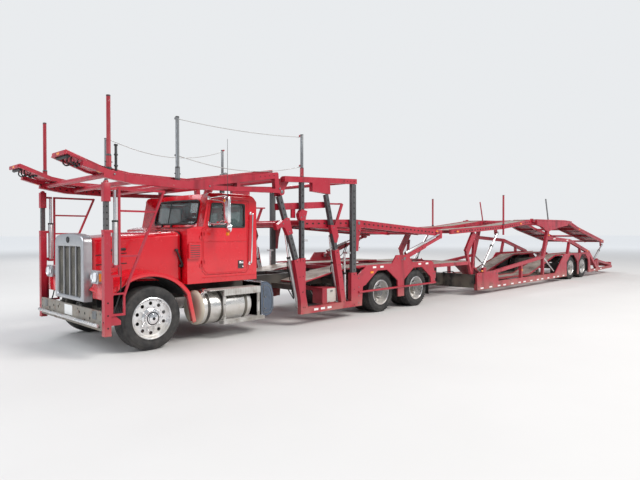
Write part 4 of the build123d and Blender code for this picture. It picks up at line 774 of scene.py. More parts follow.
for bench in BENCHES:
    body = "steer_wheel_*"
    radius, rim, half = STEER["radius"], STEER["rim"], STEER["wide"] / 2
    centre = (0, STEER["middle"], radius)
    bench.ring(tyre_profile(radius, rim, STEER["wide"], (0.081, 0.027, -0.027, -0.081)), centre, OUT, 96)
    bench.piece("steer_tyre_*", tyre_rubber, body, "tyre", [body], 28)

    bench.ring([(rim + 0.010, half - 0.020), (rim + 0.006, half - 0.006), (rim - 0.004, half - 0.002),
                (rim - 0.013, half - 0.010), (rim - 0.020, half - 0.034), (rim - 0.034, half - 0.052),
                (rim - 0.045, half - 0.060), (rim - 0.045, half - 0.075), (rim - 0.020, half - 0.085),
                (rim - 0.014, -half + 0.02), (rim + 0.010, -half + 0.01), (rim - 0.002, half - 0.030)],
               centre, OUT, 96)
    face = (0, STEER["middle"] + half - 0.061, radius)
    bench.holed_disc(face, rim - 0.040, 0.10, 0.215, 0.027, -0.014)
    bench.piece("steer_rim_*", wheel_metal, body, "aluminium", smooth=30)

    bench.lathe([(0.142, 0.0), (0.142, 0.012), (0.132, 0.020), (0.118, 0.024), (0.112, 0.060),
                 (0.104, 0.070), (0.070, 0.076), (0.066, 0.092), (0.040, 0.100), (ON_AXIS, 0.102)],
                face, OUT, 48)
    nuts(bench, 0, radius, BOLT_RING, face[1])
    bench.piece("steer_hub_*", chrome, body, "chrome", smooth=30)

    bench.pin(0, radius, face[1] + 0.101, face[1] + 0.106, 0.022, sides=20)
    bench.lathe([(0.095, 0.0708), (0.095, 0.0735), (0.080, 0.0755), (0.080, 0.0745)], face, OUT, 40)
    bench.pin(0, radius, 0.93, 1.08, 0.20, sides=40)
    # The near-black drum, the ring on the hub's step and the dot on its cap are painted shade inside the
    # wheel
    bench.piece("steer_drum_*", painted_shade_black, body, "tyre", smooth=30)


def twin(bench, body, station):
    """A pair of tyres on their rims, with the hub and the drum."""
    radius, rim, wide, middle = DUAL["radius"], DUAL["rim"], DUAL["wide"], DUAL["middle"]
    half = wide / 2
    outer = (station, middle, radius)
    inner = (station, middle - DUAL["apart"], radius)
    for centre in (outer, inner):
        bench.ring(tyre_profile(radius, rim, wide, (0.050, 0.0, -0.050)), centre, OUT, 64)
        shoulder_blocks(bench, centre, radius + 0.0005, wide, 46)
    bench.piece(body + "_tyres", tyre_rubber, body, "tyre", [body], 28)

    bench.ring([(rim + 0.010, half - 0.020), (rim + 0.006, half - 0.006), (rim - 0.004, half - 0.002),
                (rim - 0.012, half - 0.012), (rim - 0.016, half - 0.060), (rim - 0.030, half - 0.115),
                (rim - 0.050, half - 0.150), (rim - 0.050, half - 0.165), (rim - 0.020, half - 0.150),
                (rim - 0.008, -half + 0.02), (rim + 0.010, -half + 0.01), (rim - 0.002, half - 0.030)],
               outer, OUT, 72)
    bench.ring([(rim + 0.008, half - 0.012), (rim - 0.010, half - 0.012), (rim - 0.014, -half + 0.012),
                (rim + 0.008, -half + 0.012)], inner, OUT, 60)
    face = (station, middle + half - 0.150, radius)
    bench.holed_disc(face, rim - 0.046, 0.09, 0.186, 0.023, -0.012)
    bench.piece(body + "_rims", wheel_metal, body, "aluminium", smooth=30)

    bench.lathe([(0.118, 0.0), (0.118, 0.014), (0.100, 0.030), (0.094, 0.105), (0.088, 0.118),
                 (0.052, 0.124), (0.048, 0.138), (ON_AXIS, 0.142)], face, OUT, 40)
    nuts(bench, station, radius, 0.142, face[1], 0.015)
    bench.piece(body + "_hub", pole_zinc, body, "steel", smooth=30)

    bench.pin(station, radius, middle - 0.40, middle - 0.05, 0.175, sides=36)
    # The near-black drum between the twin rims is painted shade inside the wheels
    bench.piece(body + "_drum", painted_shade_black, body, "tyre", smooth=30)


for group, stations in (("drive", DRIVE_AXLES), ("trailer", TRAILER_AXLES)):
    for place, station in zip(("front", "rear"), stations):
        for bench in BENCHES:
            twin(bench, f"{group}_wheel_{place}_*", station)

# Hood and fenders

HOOD_FRONT, HOOD_REAR = -0.612, 0.632


def hood_point(u, v):
    """A point of the hood's skin: u runs to the cowl, v from the left edge over the top to the right."""
    t = u ** 0.9
    half = 0.556 + 0.324 * t
    low = 0.985 - 0.02 * t
    shoulder = 1.535 + 0.115 * t
    top = 1.642 + 0.108 * u
    inset = 0.100 + 0.075 * t
    side = -1 if v < 0.5 else 1
    w = min(v, 1 - v) * 2
    if w < 0.45:
        z = low + (shoulder - low) * w / 0.45
        y = half - 0.012 * (z - low) / (shoulder - low)
    elif w < 0.65:
        turn = (w - 0.45) / 0.20 * math.pi / 2
        y = half - 0.012 - inset * (1 - math.cos(turn))
        z = shoulder + (top - 0.018 - shoulder) * math.sin(turn)
    else:
        flat = (w - 0.65) / 0.35
        y = (half - 0.012 - inset) * (1 - flat)
        z = top - 0.018 + 0.018 * math.sin(flat * math.pi / 2)
    return at(HOOD_FRONT + (HOOD_REAR - HOOD_FRONT) * u, side * y, z)


def thick(obj, depth, offset=-1.0):
    """Give a skin its wall."""
    wall = obj.modifiers.new("wall", "SOLIDIFY")
    wall.thickness = depth
    wall.offset = offset
    return obj


whole.skin(80, 24, hood_point)
thick(whole.piece("hood_skin", cab_paint, "hood", "cab_red", ["hood"], 60), 0.022)

FENDER_NOSE, FENDER_CROWN, FENDER_TAIL = (-0.64, 0.85), (-0.02, 1.125), (0.61, 0.79)
FENDER_OUT = 1.180
LINER_GAP = 0.06


def circle_through(*points):
    """Centre and radius of the circle through three stations and heights."""
    a, b, c = ((x, z, x * x + z * z) for x, z in points)
    d = 2 * (a[0] * (b[1] - c[1]) + b[0] * (c[1] - a[1]) + c[0] * (a[1] - b[1]))
    x = (a[2] * (b[1] - c[1]) + b[2] * (c[1] - a[1]) + c[2] * (a[1] - b[1])) / d
    z = (a[2] * (c[0] - b[0]) + b[2] * (a[0] - c[0]) + c[2] * (b[0] - a[0])) / d
    return x, z, math.hypot(a[0] - x, a[1] - z)


arch_x, arch_z, arch_radius = circle_through(FENDER_NOSE, FENDER_CROWN, FENDER_TAIL)
arch_start = math.atan2(FENDER_NOSE[1] - arch_z, FENDER_NOSE[0] - arch_x)
arch_end = math.atan2(FENDER_TAIL[1] - arch_z, FENDER_TAIL[0] - arch_x)


def fender_edge(u):
    """Station, height and outward direction along the fender: nose, crown and tail."""
    if u < 0.72:
        angle = arch_start + (arch_end - arch_start) * u / 0.72
        return (arch_x + arch_radius * math.cos(angle), arch_z + arch_radius * math.sin(angle),
                math.cos(angle), math.sin(angle))
    t = (u - 0.72) / 0.28
    return FENDER_TAIL[0] + 0.105 * t, FENDER_TAIL[1] - 0.46 * t, 0.975, 0.223


def fender_place(u, v):
    """A point of the fender: u runs from nose to tail, v from the hood out to the rolled edge."""
    x, z, nx, nz = fender_edge(u)
    tail = max(0.0, (u - 0.66) / 0.34)
    inner = 0.60 + (1.045 - 0.60) * min(1.0, tail * 3)
    y = inner + (FENDER_OUT - inner) * min(1.0, v / 0.8)
    drop = 0.0
    if v > 0.8:
        roll = (v - 0.8) / 0.2
        y = FENDER_OUT
        drop = -0.055 * roll
    elif v > 0.6:
        drop = -0.010 * ((v - 0.6) / 0.2) ** 2
    lift = 0.045 * max(0.0, 1 - v / 0.5) ** 2 * (1 - min(1.0, tail * 3))
    return at(x + nx * (drop + lift), y, z + nz * (drop + lift))


def liner_place(u, v):
    """A point of the liner inside the wheel arch: u runs to the tail, v outwards."""
    angle = arch_start + (arch_end - arch_start) * u
    radius = arch_radius - LINER_GAP
    return at(arch_x + radius * math.cos(angle), 0.58 + 0.56 * v, arch_z + radius * math.sin(angle))


for bench in BENCHES:
    bench.skin(20, 64, fender_place)
    thick(bench.piece("fender_*", cab_paint, "hood", "cab_red", smooth=50), 0.018, 0.0)

    # Liner inside the wheel arch and the panel between the hood side and the fender, both near-black:
    # painted shade inside the arch
    bench.skin(4, 48, liner_place)
    bench.prism([(-0.56, 0.62), (-0.60, 0.88), (-0.42, 1.02), (-0.02, 1.10), (0.36, 1.02), (0.56, 0.85),
                 (0.60, 0.62)], 0.600, 0.612)
    thick(bench.piece("arch_liner_*", painted_shade_black, "hood", "plastic"), 0.006)

    # Vents, latches, and seams on the hood side
    for z in (1.395, 1.245, 1.105):
        w = 0.45 * (z - 0.975) / 0.60
        bench.tube([hood_point(0.04 + 0.033 * k, 1 - w / 2) for k in range(11)], 0.008, 6)
    bench.tube([hood_point(0.16 + 0.025 * k, 0.82) for k in range(9)], 0.020, 8)
    bench.rod((0.56, 0.885, 1.43), (0.655, 0.908, 1.19), 0.016, sides=12)
    bench.block((0.60, 0.875, 1.165), (0.665, 0.918, 1.205), 0.008)
    bench.block((0.535, 0.862, 1.41), (0.585, 0.900, 1.45), 0.008)
    bench.piece("hood_latch_*", black_rubber, "hood", "plastic")

    for station in (0.30, 0.54):
        bench.block((station, 0.74, 1.70), (station + 0.05, 0.80, 1.722), 0.006)
    bench.piece("hood_hinges_*", cab_paint, "hood", "cab_red")

whole.skin(60, 2, lambda u, v: hood_point(0.985 + 0.015 * u, v) + Vector((0.004, 0, 0.0025)))
thick(whole.piece("hood_seal", black_rubber, "hood", "plastic"), 0.008)

# Grille and lamps

GRILLE_FRONT = -0.745
shell = [(-0.560, 0.705), (0.560, 0.705), (0.560, 1.560), (0.550, 1.605), (0.520, 1.640), (0.450, 1.665),
         (0.30, 1.685), (0.0, 1.698), (-0.30, 1.685), (-0.450, 1.665), (-0.520, 1.640), (-0.550, 1.605),
         (-0.560, 1.560)]
MESH_HALF, MESH_LOW, MESH_HIGH = 0.470, 0.765, 1.500


def rounded_window(half, low, high, radius, steps=6):
    """Sides and heights round an opening with round corners."""
    corners = ((half - radius, high - radius, 0), (-half + radius, high - radius, 90),
               (-half + radius, low + radius, 180), (half - radius, low + radius, 270))
    return [(y + radius * math.cos(math.radians(start + 90 * i / steps)),
             z + radius * math.sin(math.radians(start + 90 * i / steps)))
            for y, z, start in corners for i in range(steps + 1)]


whole.framed(shell, rounded_window(MESH_HALF, MESH_LOW, MESH_HIGH, 0.05), GRILLE_FRONT, 0.132, 0.022)
whole.piece("grille_surround", grille_metal, "hood", "aluminium", ["grille"], 40)

whole.panel(rounded_window(MESH_HALF + 0.01, MESH_LOW - 0.01, MESH_HIGH + 0.01, 0.05), GRILLE_FRONT + 0.045,
            0.006)
whole.piece("grille_mesh", mesh_dark, "hood", "plastic")

for y in (-0.5 * MESH_HALF, 0, 0.5 * MESH_HALF):
    whole.block((GRILLE_FRONT + 0.018, y - 0.011, MESH_LOW), (GRILLE_FRONT + 0.046, y + 0.011, MESH_HIGH),
                0.004)
for side in (-1, 1):
    whole.block((GRILLE_FRONT + 0.018, side * MESH_HALF - 0.012, MESH_LOW + 0.03),
                (GRILLE_FRONT + 0.046, side * MESH_HALF + 0.012, MESH_HIGH - 0.03), 0.004)
whole.piece("grille_bars", grille_metal, "hood", "aluminium")

whole.lathe([(0.048, 0.0), (0.048, 0.008), (0.044, 0.013), (0.036, 0.013), (0.034, 0.009),
             (ON_AXIS, 0.009)], (GRILLE_FRONT + 0.001, 0, 1.600), AHEAD, 40)
whole.piece("round_badge_blank", frame_black, "hood", "frame_black")

for side in (-1, 1):
    whole.beam((-0.660, side * 0.260, 0.640), (-0.655, side * 0.260, 0.740), 0.036, 0.055)
    whole.pin(-0.660, 0.640, side * 0.241, side * 0.279, 0.030, sides=28)
whole.piece("hood_arms", frame_black, "hood", "frame_black")

for bench in BENCHES:
    bench.block((-0.722, 0.782, 0.992), (-0.655, 1.018, 1.180), 0.014)
    bench.block((-0.655, 0.600, 1.03), (-0.615, 0.800, 1.13), 0.006)
    bench.lathe([(0.079, 0.0), (0.079, 0.012), (0.072, 0.016), (0.066, 0.010), (0.066, 0.0)],
                (-0.722, 0.930, 1.087), AHEAD, 40)
    bench.lathe([(0.046, 0.0), (0.046, 0.010), (0.040, 0.012), (0.036, 0.0)], (-0.722, 0.825, 1.087),
                AHEAD, 32)
    bench.piece("headlamp_pod_*", grille_metal, "hood", "lamp",
                ["headlamps"] if bench.hand == "left" else ())
    bench.lathe([(0.067, 0.0), (0.066, 0.008), (0.050, 0.014), (ON_AXIS, 0.018)], (-0.724, 0.930, 1.087),
                AHEAD, 40)
    bench.lathe([(0.037, 0.0), (0.036, 0.006), (ON_AXIS, 0.010)], (-0.724, 0.825, 1.087), AHEAD, 28)
    bench.piece("headlamp_lens_*", lamp_lens, "hood", "glass")
    bench.block((-0.705, 1.018, 1.03), (-0.672, 1.030, 1.14), 0.005)
    bench.piece("turn_lamp_*", amber, "hood", "lamp")
    # Filler between the headlamp and the fender nose
    bench.block((-0.650, 0.645, 0.760), (-0.595, 1.150, 1.000), 0.020)
    bench.piece("fender_nose_*", cab_paint, "hood", "cab_red")

# Bumper

eased("bumper", bumper_metal, 0.006)
whole.pin(-0.790, 0.450, -1.165, 1.165, 0.0255, sides=28, edge=0.004)
whole.piece("bumper_tube", polished, "tractor", "bumper_paint")
for side in (-1, 1):
    for y, z in ((0.10, 0.46), (0.30, 0.44), (0.62, 0.56), (0.62, 0.46), (0.80, 0.51), (1.02, 0.58),
                 (1.12, 0.42)):
        whole.rod((-0.742, side * y, z), (-0.7462, side * y, z), 0.019 if y < 0.9 else 0.013, sides=20)
# The bumper's holes are near-black discs: painted shade inside them
whole.piece("bumper_holes", painted_shade_black, "tractor", "plastic")
for side in (-1, 1):
    for y, z in ((0.36, 0.60), (0.36, 0.42), (0.44, 0.42), (0.90, 0.60), (1.15, 0.60), (1.15, 0.50)):
        whole.rod((-0.744, side * y, z), (-0.753, side * y, z), 0.014, sides=6, edge=0.002)
    whole.block((-0.752, side * 0.955 - 0.07, 0.515), (-0.744, side * 0.955 + 0.07, 0.625), 0.004)
whole.piece("bumper_bolts", pole_zinc, "tractor", "steel")
whole.block((-0.749, -0.155, 0.475), (-0.744, 0.155, 0.625), 0.003)
whole.piece("number_plate_blank", blank_plate, "tractor", "bumper_paint")

# Cab

eased("cab_shell", cab_paint, 0.012)
SCREEN_LEAN = 0.19
SCREEN_FOOT = 1.800


def screen_bow(y):
    """How far the cab's front falls back towards its sides."""
    return 0.125 * (y / 0.705) ** 2


def on_screen(y, z, proud=0.0):
    """A point on the bowed front of the cab."""
    return at(0.905 + screen_bow(y) + SCREEN_LEAN * (z - SCREEN_FOOT) - proud, y, z)


def screen_edge(inset, proud, steps=14):
    """Points round the windscreen opening."""
    low, high, half, turn = 1.850 + inset, 2.240 - inset, 0.690 - inset, 0.05
    outline = []
    for k in range(steps + 1):
        outline.append((-half + turn + (2 * half - 2 * turn) * k / steps, low))
    outline += [(half - turn * 0.3, low + turn * 0.3)]
    outline += [(half, low + turn + (high - low - 2 * turn) * k / 4) for k in range(5)]
    outline += [(half - turn * 0.3, high - turn * 0.3)]
    outline += [(half - turn - (2 * half - 2 * turn) * k / steps, high) for k in range(steps + 1)]
    outline += [(-half + turn * 0.3, high - turn * 0.3)]
    outline += [(-half, high - turn - (high - low - 2 * turn) * k / 4) for k in range(5)]
    outline += [(-half + turn * 0.3, low + turn * 0.3)]
    return [on_screen(y, z, proud) for y, z in outline]


whole.tube(screen_edge(0.0, 0.004), 0.016, 8, closed=True)
whole.tube([on_screen(0, 1.850 + 0.39 * k / 6, 0.004) for k in range(7)], 0.009, 8)
whole.piece("screen_rubber", black_rubber, "tractor", "plastic")

for y1, y2 in ((-0.12, -0.60), (0.20, 0.66)):
    foot, tip = on_screen(y1, 1.835, 0.02), on_screen(y2, 1.905, 0.012)
    bow = [Vector((-0.012 * math.sin(math.pi * k / 8), 0, 0.02 * k / 8)) for k in range(9)]
    whole.tube([foot.lerp(tip, k / 8) + bow[k] for k in range(9)], 0.006, 8)
    low, high = on_screen(y2 - 0.20, 1.872, 0.010), on_screen(y2 + 0.16, 1.960, 0.010)
    whole.tube([low.lerp(high, k / 8) for k in range(9)], 0.008, 6)
    x = 0.900 + screen_bow(y1)
    whole.rod((x - 0.01, y1, SCREEN_FOOT), (x, y1, 1.842), 0.018, sides=14)
whole.piece("wipers", black_rubber, "tractor", "plastic")

dress("cab_glass", window_glass)
DOOR = [(0.930, 1.090), (0.990, 1.030), (1.780, 1.030), (1.840, 1.090), (1.840, 2.240), (1.075, 2.240),
        (1.000, 1.790), (0.930, 1.760)]
WINDOW = [(1.048, 1.790), (1.770, 1.790), (1.770, 2.185), (1.110, 2.185)]
ROUND_MIRROR = (1.240, 1.300, 1.780)


def inside(outline, inset):
    """The outline shrunk towards its middle, in stations and heights."""
    mid_x = sum(x for x, z in outline) / len(outline)
    mid_z = sum(z for x, z in outline) / len(outline)
    return [(x - math.copysign(inset, x - mid_x), z - math.copysign(inset, z - mid_z)) for x, z in outline]


for bench in BENCHES:
    body = "door_*"
    eased(f"door_{bench.hand}", cab_paint, 0.007,
          lambda c: abs(c.y) < 1.0305 or c.x < 0.938 + FRONT_AXLE)
    dress(f"door_glass_{bench.hand}", window_glass)
    bench.tube(bent([at(x, 1.031, z) for x, z in inside(WINDOW, -0.004)], 0.03, 4, True), 0.011, 8, True)
    bench.piece("door_rubber_*", black_rubber, body, "plastic")
    bench.tube(bent([at(x, 1.031, z) for x, z in inside(DOOR, 0.022)], 0.05, 4, True), 0.006, 6, True)
    bench.tube([at(0.96, 1.032, 1.560), at(1.81, 1.032, 1.560)], 0.007, 6)
    bench.piece("door_bead_*", cab_paint, body, "cab_red")
    bench.block((1.625, 1.0295, 1.102), (1.737, 1.036, 1.237), 0.003)
    bench.piece("handle_recess_*", trim_plastic, body, "plastic")
    bench.block((1.637, 1.036, 1.185), (1.725, 1.052, 1.222), 0.006)
    bench.pin(1.715, 1.135, 1.034, 1.046, 0.012, sides=16)
    bench.piece("door_handle_*", chrome, body, "chrome")

    loop = [at(1.055, 1.028, 2.262), at(1.225, 1.275, 2.300), at(1.225, 1.275, 1.846),
            at(1.060, 1.028, 1.846)]
    bench.tube(bent(loop, 0.05), 0.012, 10)
    bench.tube([at(1.225, 1.275, 2.20), at(1.100, 1.028, 2.24)], 0.008, 8)
    bench.tube([at(1.225, 1.275, 1.93), at(1.120, 1.028, 1.810)], 0.008, 8)
    for x, z in ((1.055, 2.262), (1.060, 1.846)):
        bench.block((x - 0.025, 1.028, z - 0.03), (x + 0.025, 1.040, z + 0.03), 0.004)
    bench.piece("mirror_frame_*", chrome, body, "chrome")
    bench.block((1.195, 1.172, 1.849), (1.256, 1.358, 2.273), 0.024)
    bench.lathe([(ON_AXIS, -0.028), (0.060, -0.018), (0.082, 0.0), (0.084, 0.012)], ROUND_MIRROR,
                BACK, 32)
    bench.piece("mirror_head_*", polished, body, "aluminium")
    bench.block((1.2555, 1.186, 1.865), (1.259, 1.344, 2.257), 0.001)
    bench.lathe([(0.080, 0.0125), (0.050, 0.020), (ON_AXIS, 0.022)], ROUND_MIRROR, BACK, 32)
    bench.piece("mirror_pane_*", mirror_glass, body, "glass")
    bench.rod((1.188, 1.265, 2.215), (1.202, 1.265, 2.215), 0.024, 0.028, 20, 0.003)
    bench.rod((1.212, 1.300, 1.682), (1.246, 1.300, 1.682), 0.030, 0.026, 22, 0.004)
    bench.piece("mirror_lamp_*", amber, body, "lamp")
    bench.rod((1.225, 1.275, 1.846), (1.228, 1.300, 1.660), 0.008, sides=10)
    if bench.hand == "left":
        bench.post(1.205, 1.335, 2.268, 2.380, 0.009, 0.006, 12)
        bench.rod((1.205, 1.335, 2.380), (1.207, 1.332, 3.187), 0.0042, 0.0028, 8)
    bench.piece("mirror_stem_*", trim_plastic, body, "plastic")

    # Rail, intake, panel seam and roof gutter on the cab side
    rail = [at(1.895, 1.030, 2.035), at(1.900, 1.085, 2.035), at(1.868, 1.085, 1.180),
            at(1.868, 1.030, 1.180)]
    bench.tube(bent(rail, 0.03), 0.0135, 12)
    for x, z in ((1.895, 2.035), (1.868, 1.180)):
        bench.pin(x, z, 1.030, 1.036, 0.028, sides=18)
    bench.piece("grab_rail_*", chrome, "tractor", "chrome")
    for k in range(6):
        z = 1.325 + 0.035 * k
        bench.beam((0.690, 1.0755, z), (0.862, 1.0755, z), 0.006, 0.012, 0.002)
    bench.piece("intake_louvres_*", trim_plastic, "tractor", "plastic")
    bench.tube([at(1.10, 0.985, 2.342), at(1.90, 0.985, 2.342)], 0.012, 8)
    bench.tube([at(0.672, 1.032, 1.550), at(0.905, 1.032, 1.550)], 0.006, 6)
    bench.tube([at(0.935, 1.032, 0.985), at(2.010, 1.032, 0.985)], 0.006, 6)
    for x in (1.93, 1.97):
        for k in range(9):
            bench.pin(x, 1.05 + 0.13 * k, 1.029, 1.0325, 0.007, 0.005, 10)
    bench.piece("cab_seams_*", cab_paint, "tractor", "cab_red")

# Inside the cab

cabin = [(0.705, 1.385), (0.705, 1.698), (0.905, 1.730), (0.985, 1.715), (1.012, 1.680), (1.028, 1.500),
         (0.980, 1.402)]
whole.prism(cabin, -0.975, 0.975, 0.010)
whole.block((0.990, -0.66, 1.585), (1.022, -0.30, 1.690), 0.012)
for side in (-1, 1):
    whole.block((1.40, side * 0.48 - 0.19, 0.955), (1.72, side * 0.48 + 0.19, 1.135), 0.02)
whole.piece("dashboard", dash_plastic, "tractor", "plastic", ["cab_interior"], 40)
hub = at(1.000, -0.480, 1.560) + Vector((0.86, 0, 0.51)) * 0.227
turn = towards(Vector((0.86, 0, 0.51)))
whole.tube([hub + turn @ Vector((0.222 * math.cos(math.tau * k / 40), 0.222 * math.sin(math.tau * k / 40),
                                 0)) for k in range(40)], 0.013, 10, True)
for angle in (90, 210, 330):
    arm = turn @ Vector((0.215 * math.sin(math.radians(angle)), 0.215 * math.cos(math.radians(angle)), 0))
    whole.tube([hub, hub + arm * 0.5, hub + arm], 0.011, 8)
whole.tube([at(1.000, -0.480, 1.560), hub], 0.028, 14)
whole.piece("steering_wheel", trim_plastic, "tractor", "plastic")


def cushion(name, low, high, lean=0.0):
    """A crowned cushion between two corners, its top moved to the rear by the lean."""
    bmesh.ops.create_cube(whole.bm, size=1.0)
    bmesh.ops.subdivide_edges(whole.bm, edges=whole.bm.edges[:], cuts=5, use_grid_fill=True)
    low, high = at(*low), at(*high)
    size, middle = high - low, (high + low) / 2
    for vert in whole.bm.verts:
        u = vert.co * 2
        crown = 1.0 + 0.06 * (1 - u.x * u.x) * (1 - u.y * u.y) + 0.05 * (1 - u.z * u.z) * (1 - u.y * u.y)
        pinch = 1.0 - 0.10 * (abs(u.x) ** 6) * (abs(u.y) ** 6) - 0.08 * (abs(u.y) ** 6) * (abs(u.z) ** 6)
        channel = 0.006 * math.cos(u.y * math.pi * 4)
        place = Vector((vert.co.x * size.x, vert.co.y * size.y, vert.co.z * size.z)) * min(1.0, pinch)
        place.x *= crown if abs(u.x) > 0.9 else 1
        place.z *= crown if abs(u.z) > 0.9 else 1
        place.x -= channel if u.x < -0.9 else 0
        place.x += lean * (u.z + 1) / 2
        vert.co = middle + place
    obj = whole.piece(name, seat_cloth, "tractor", "plastic", (), 60)
    smoother = obj.modifiers.new("soft", "SUBSURF")
    smoother.levels = 2
    smoother.render_levels = 2


for hand, middle in (("left", -0.48), ("right", 0.48)):
    cushion(f"seat_base_{hand}", (1.290, middle - 0.225, 1.140), (1.745, middle + 0.225, 1.285))
    cushion(f"seat_back_{hand}", (1.748, middle - 0.225, 1.290), (1.860, middle + 0.225, 1.935), 0.045)

# Fuel tanks, steps and boxes

tread_plate = treaded_plate("tread_plate", (0.54, 0.53, 0.51), (0.26, 0.24, 0.21), 0.034)
# The step box is polished steel; its dark blue tint is a painted reflection of blue sky
box_sky_reflection = bare_metal("box_sky_reflection", (0.13, 0.16, 0.21), (0.07, 0.07, 0.07), 0.4, 0.10, 0.95, (1, 1, 1), 0.5)
door_white = painted("door_white", (0.62, 0.60, 0.57), (0.50, 0.47, 0.42), 0.5, 0.3, 0.6, 0.9, 0.5)
dome_cream = painted("dome_cream", (0.60, 0.54, 0.44), (0.46, 0.40, 0.32), 0.7, 0.15, 0.6, 1.2, 0.55)
TANK_Y, TANK_Z = 0.915, 0.510
for bench in BENCHES:
    bench.lathe([(ON_AXIS, -0.008), (0.10, -0.004), (0.19, 0.006), (0.240, 0.020), (0.266, 0.044),
                 (0.274, 0.070), (0.274, 0.085)], (0.785, TANK_Y, TANK_Z), BACK, 64)
    bench.piece("tank_dome_*", dome_cream, "tractor", "aluminium",
                ["fuel_tanks"] if bench.hand == "left" else (), 40)
    bench.lathe([(0.2742, 0.083), (0.2742, 0.96), (0.266, 1.000), (0.240, 1.024), (0.19, 1.038),
                 (ON_AXIS, 1.045)], (0.785, TANK_Y, TANK_Z), BACK, 64)
    bench.rod((0.95, TANK_Y + 0.12, 0.735), (0.95, TANK_Y + 0.155, 0.795), 0.05, sides=24, edge=0.006)
    bench.block((1.02, 0.45, 0.640), (1.06, 0.75, 0.700), 0.004)
    bench.piece("tank_barrel_*", tank_metal, "tractor", "aluminium", (), 30)
    for station in (0.930, 1.180, 1.650):
        bench.ring([(0.2743, 0.0), (0.2800, 0.002), (0.2800, 0.048), (0.2743, 0.050)],
                   (station, TANK_Y, TANK_Z), BACK, 64)
        bench.block((station, 0.432, 0.640), (station + 0.05, 0.800, 0.720), 0.004)
    bench.piece("tank_straps_*", frame_black, "tractor", "frame_black", (), 40)

eased("side_steps", tread_plate, 0.004, lambda c: c.x < 1.990 + FRONT_AXLE and c.z < 0.85)
# The step box gets the sky-tinted steel: painted reflection of blue sky
eased("side_steps", box_sky_reflection, 0.012, lambda c: c.x >= 1.964 + FRONT_AXLE and c.z > 0.265,
      name="step_box")
for side in (-1, 1):
    for x in (1.225, 1.915):
        for z in (0.36, 0.55, 0.72):
            whole.bolt(x, side * 1.219, z, 0.012, 0.008)
    for z in (0.40, 0.60):
        whole.bolt(2.060, side * 1.219, z, 0.014, 0.010)
    whole.tube(bent([at(2.02, side * 1.221, 0.33), at(2.02, side * 1.221, 0.80),
                     at(2.10, side * 1.221, 0.80), at(2.17, side * 1.221, 0.76),
                     at(2.215, side * 1.221, 0.62), at(2.215, side * 1.221, 0.42),
                     at(2.17, side * 1.221, 0.33)], 0.04, 4, True), 0.006, 6, True)
whole.piece("step_bolts", pole_zinc, "tractor", "steel")

eased("toolboxes", shaded_rack_paint, 0.006)
for bench in BENCHES:
    bench.block((3.600, 1.204, 0.355), (3.845, 1.212, 0.622), 0.003)
    bench.piece("toolbox_door_*", door_white, "tractor", "aluminium")
    bench.block((3.690, 1.211, 0.560), (3.750, 1.222, 0.592), 0.003)
    for x in (3.63, 3.80):
        bench.rod((x, 1.213, 0.360), (x + 0.05, 1.213, 0.360), 0.009, sides=10)
    bench.piece("toolbox_latch_*", pole_zinc, "tractor", "steel")

# Chassis, engine and axles

eased("chassis", frame_black, 0.004)
eased("engine", frame_black, 0.02)
eased("front_axle", frame_black, 0.006)
eased("drive_axles", frame_black, 0.006)
eased("knuckle_left", frame_black, 0.003)
eased("knuckle_right", frame_black, 0.003)
eased("mud_flaps", black_rubber, 0.003)

# Head rack, poles and safety lines

